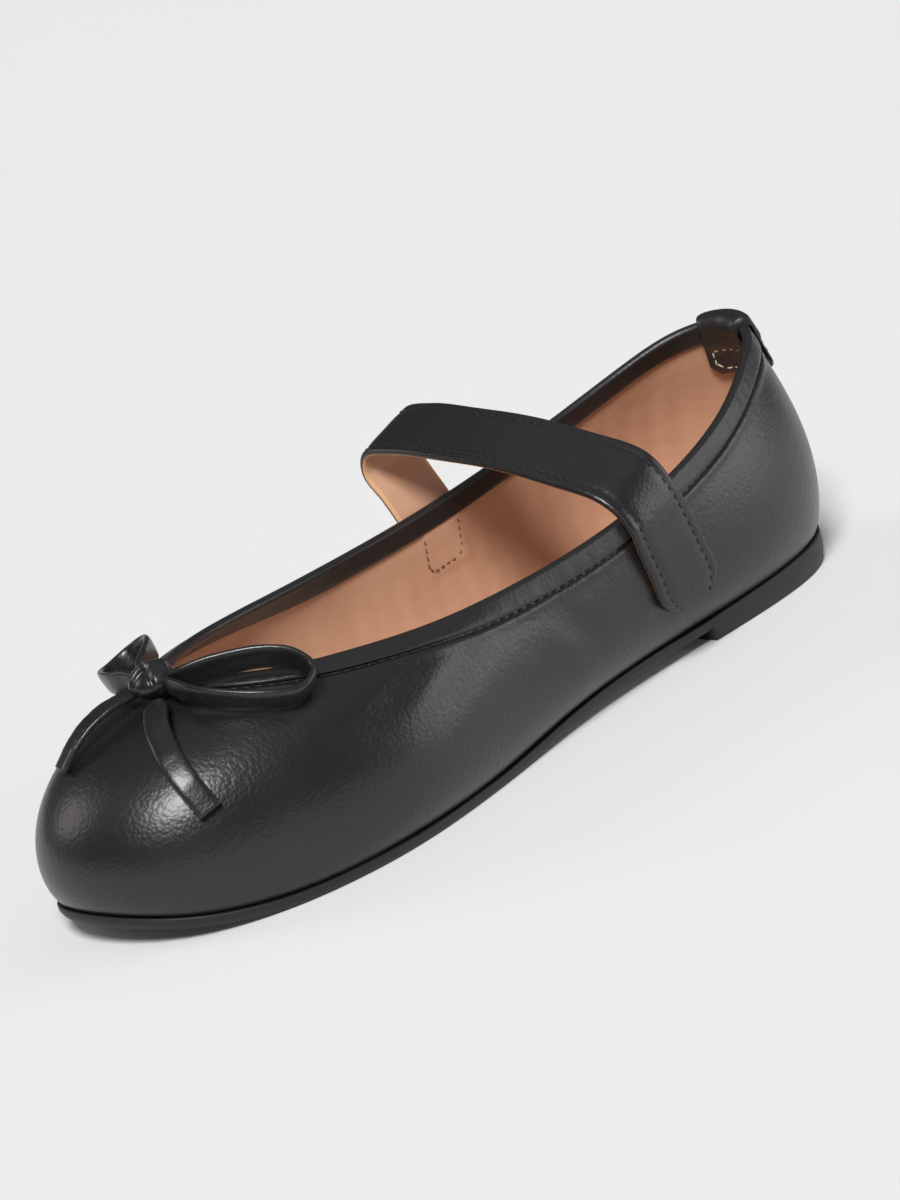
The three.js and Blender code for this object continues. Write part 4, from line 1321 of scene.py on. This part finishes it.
def make_knot(flat):
    last, trim = Last(flat.last), flat.trim
    point, normal, climb = (v[0] for v in bow_frames(last, [0], [trim.bow_place]))
    along = -unit(np.cross(normal, climb))
    fold_depth = 0.35
    rings, around = 96, 128
    points, faces = [], []
    lift = trim.knot_height / 2 + FACET_CLEARANCES * flat.last.clearance
    for i in range(rings + 1):
        tilt = math.pi * i / rings
        for k in range(around):
            turn = 2 * math.pi * k / around
            x = math.sin(tilt) * math.cos(turn)
            y = math.sin(tilt) * math.sin(turn)
            z = math.cos(tilt)
            scale = 1 + knot_fold(x, y) * max(0, z + fold_depth)
            spot = along * x * trim.knot_width / 2 + climb * y * trim.knot_length / 2
            points.append(point + (spot + normal * z * trim.knot_height / 2) * scale + normal * lift)
    for i in range(rings):
        for k in range(around):
            after = (k + 1) % around
            low, high = i * around, (i + 1) * around
            faces.append((low + k, low + after, high + after, high + k))
    piece = make_object("bow_knot_ribbon", points, faces, [material("ribbon_leather")])
    weld(piece)
    finish_piece(piece, "black_ribbon", "bow_knot")


# Stage

def direction(azimuth, elevation):
    """Way from the shoe at an azimuth, 0 in front of the toe and growing to the outer side"""
    flat = math.cos(elevation)
    return Vector((math.sin(azimuth) * flat, -math.cos(azimuth) * flat, math.sin(elevation)))


def picture_axes(studio):
    """Right, up and back directions of the camera"""
    back = direction(studio.azimuth, studio.elevation)
    right = Vector((math.cos(studio.azimuth), math.sin(studio.azimuth), 0))
    up = back.cross(right)
    c, s = math.cos(studio.roll), math.sin(studio.roll)
    return c * right + s * up, c * up - s * right, back


def make_camera(flat):
    studio = flat.studio
    right, up, back = picture_axes(studio)
    data = bpy.data.cameras.new("photo_camera")
    data.lens = studio.lens
    data.clip_start, data.clip_end = 0.01, 20
    camera = bpy.data.objects.new("photo_camera", data)
    turn = Matrix((right, up, back)).transposed().to_4x4()
    place = Vector((studio.aim_x, studio.aim_y, studio.aim_z)) + back * studio.distance
    camera.matrix_world = Matrix.Translation(place) @ turn
    bpy.context.scene.collection.objects.link(camera)
    bpy.context.scene.camera = camera


def make_floor(flat):
    half = 6
    corners = [(-half, -half, 0), (half, -half, 0), (half, half, 0), (-half, half, 0)]
    s = Shader("studio_floor")
    paint = s.surface({
        "Base Color": rgba(flat.colours.floor),
        "Roughness": 0.6 + (s.noise(0.3) - 0.5) * 0.1,
        "Specular IOR Level": 0.1,
        "Emission Color": rgba((1, 1, 1)),
        "Emission Strength": 0.02,
    })
    floor = make_object("studio_floor", corners, [(0, 1, 2, 3)], [paint])
    floor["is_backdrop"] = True


def make_lights():
    for softbox in SOFTBOXES:
        data = bpy.data.lights.new(softbox.name, "SUN")
        data.energy = softbox.strength
        data.angle = math.radians(softbox.spread)
        data.color = softbox.tint
        light = bpy.data.objects.new(softbox.name, data)
        way = direction(math.radians(softbox.azimuth), math.radians(softbox.elevation))
        light.rotation_mode = "QUATERNION"
        light.rotation_quaternion = way.to_track_quat("Z", "Y")
        bpy.context.scene.collection.objects.link(light)
    world = bpy.context.scene.world or bpy.data.worlds.new("studio")
    bpy.context.scene.world = world
    world.use_nodes = True
    background = world.node_tree.nodes["Background"]
    background.inputs["Color"].default_value = rgba((0.9, 0.9, 0.92))
    background.inputs["Strength"].default_value = 0.1
    bpy.context.scene.view_settings.view_transform = "Standard"


# Operators and panel

class FLAT_OT_upper(bpy.types.Operator):
    """Makes the leather upper with its lining"""

    bl_idname = "flat.upper"
    bl_label = "Upper"

    def execute(self, context):
        make_upper(context.scene.flat)
        return {"FINISHED"}


class FLAT_OT_binding(bpy.types.Operator):
    """Makes the binding of the top line and its seam"""

    bl_idname = "flat.binding"
    bl_label = "Binding"

    def execute(self, context):
        make_binding(context.scene.flat)
        make_binding_seam(context.scene.flat)
        return {"FINISHED"}


class FLAT_OT_soles(bpy.types.Operator):
    """Makes the outsole and the insole"""

    bl_idname = "flat.soles"
    bl_label = "Soles"

    def execute(self, context):
        make_outsole(context.scene.flat)
        make_insole(context.scene.flat)
        return {"FINISHED"}


class FLAT_OT_strap(bpy.types.Operator):
    """Makes the instep strap and its seams"""

    bl_idname = "flat.strap"
    bl_label = "Strap"

    def execute(self, context):
        make_strap(context.scene.flat)
        make_strap_seams(context.scene.flat)
        make_strap_end_stitches(context.scene.flat)
        return {"FINISHED"}


class FLAT_OT_heel_tab(bpy.types.Operator):
    """Makes the folded tab at the heel and its stitches"""

    bl_idname = "flat.heel_tab"
    bl_label = "Heel tab"

    def execute(self, context):
        make_heel_tab(context.scene.flat)
        make_heel_tab_stitches(context.scene.flat)
        return {"FINISHED"}


class FLAT_OT_bow(bpy.types.Operator):
    """Makes the ribbon bow"""

    bl_idname = "flat.bow"
    bl_label = "Bow"

    def execute(self, context):
        make_bow(context.scene.flat)
        make_knot(context.scene.flat)
        return {"FINISHED"}


class FLAT_OT_stage(bpy.types.Operator):
    """Makes floor, lights and camera"""

    bl_idname = "flat.stage"
    bl_label = "Stage"

    def execute(self, context):
        make_floor(context.scene.flat)
        make_lights()
        make_camera(context.scene.flat)
        return {"FINISHED"}


class FLAT_PT_panel(bpy.types.Panel):
    """Settings of the shoe's looks and a button for each of its pieces"""

    bl_label = "Ballet flat"
    bl_idname = "FLAT_PT_panel"
    bl_space_type = "VIEW_3D"
    bl_region_type = "UI"
    bl_category = "Flat"

    def draw(self, context):
        flat = context.scene.flat
        for group in (flat.last, flat.trim, flat.colours, flat.studio):
            box = self.layout.box()
            for name in group.__annotations__:
                box.prop(group, name)
        for operator in OPERATORS:
            self.layout.operator(operator.bl_idname)


GROUPS = (LastSizes, TrimSizes, FinishColours, StudioSettings, FlatSettings)
OPERATORS = (
    FLAT_OT_upper,
    FLAT_OT_binding,
    FLAT_OT_soles,
    FLAT_OT_strap,
    FLAT_OT_heel_tab,
    FLAT_OT_bow,
    FLAT_OT_stage,
)


def register():
    for group in GROUPS + OPERATORS + (FLAT_PT_panel,):
        bpy.utils.register_class(group)
    bpy.types.Scene.flat = bpy.props.PointerProperty(type=FlatSettings, name="Flat", description="The shoe")


def unregister():
    del bpy.types.Scene.flat
    for group in reversed(GROUPS + OPERATORS + (FLAT_PT_panel,)):
        bpy.utils.unregister_class(group)


def main():
    register()
    bpy.ops.flat.upper()
    bpy.ops.flat.binding()
    bpy.ops.flat.soles()
    bpy.ops.flat.strap()
    bpy.ops.flat.heel_tab()
    bpy.ops.flat.bow()
    bpy.ops.flat.stage()
    sizes = {"packed": packed_bounds, "dressed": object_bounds()}
    {name: [list(corner) for corner in box] for name, box in sizes.items()}


if __name__ == "__main__":
    main()
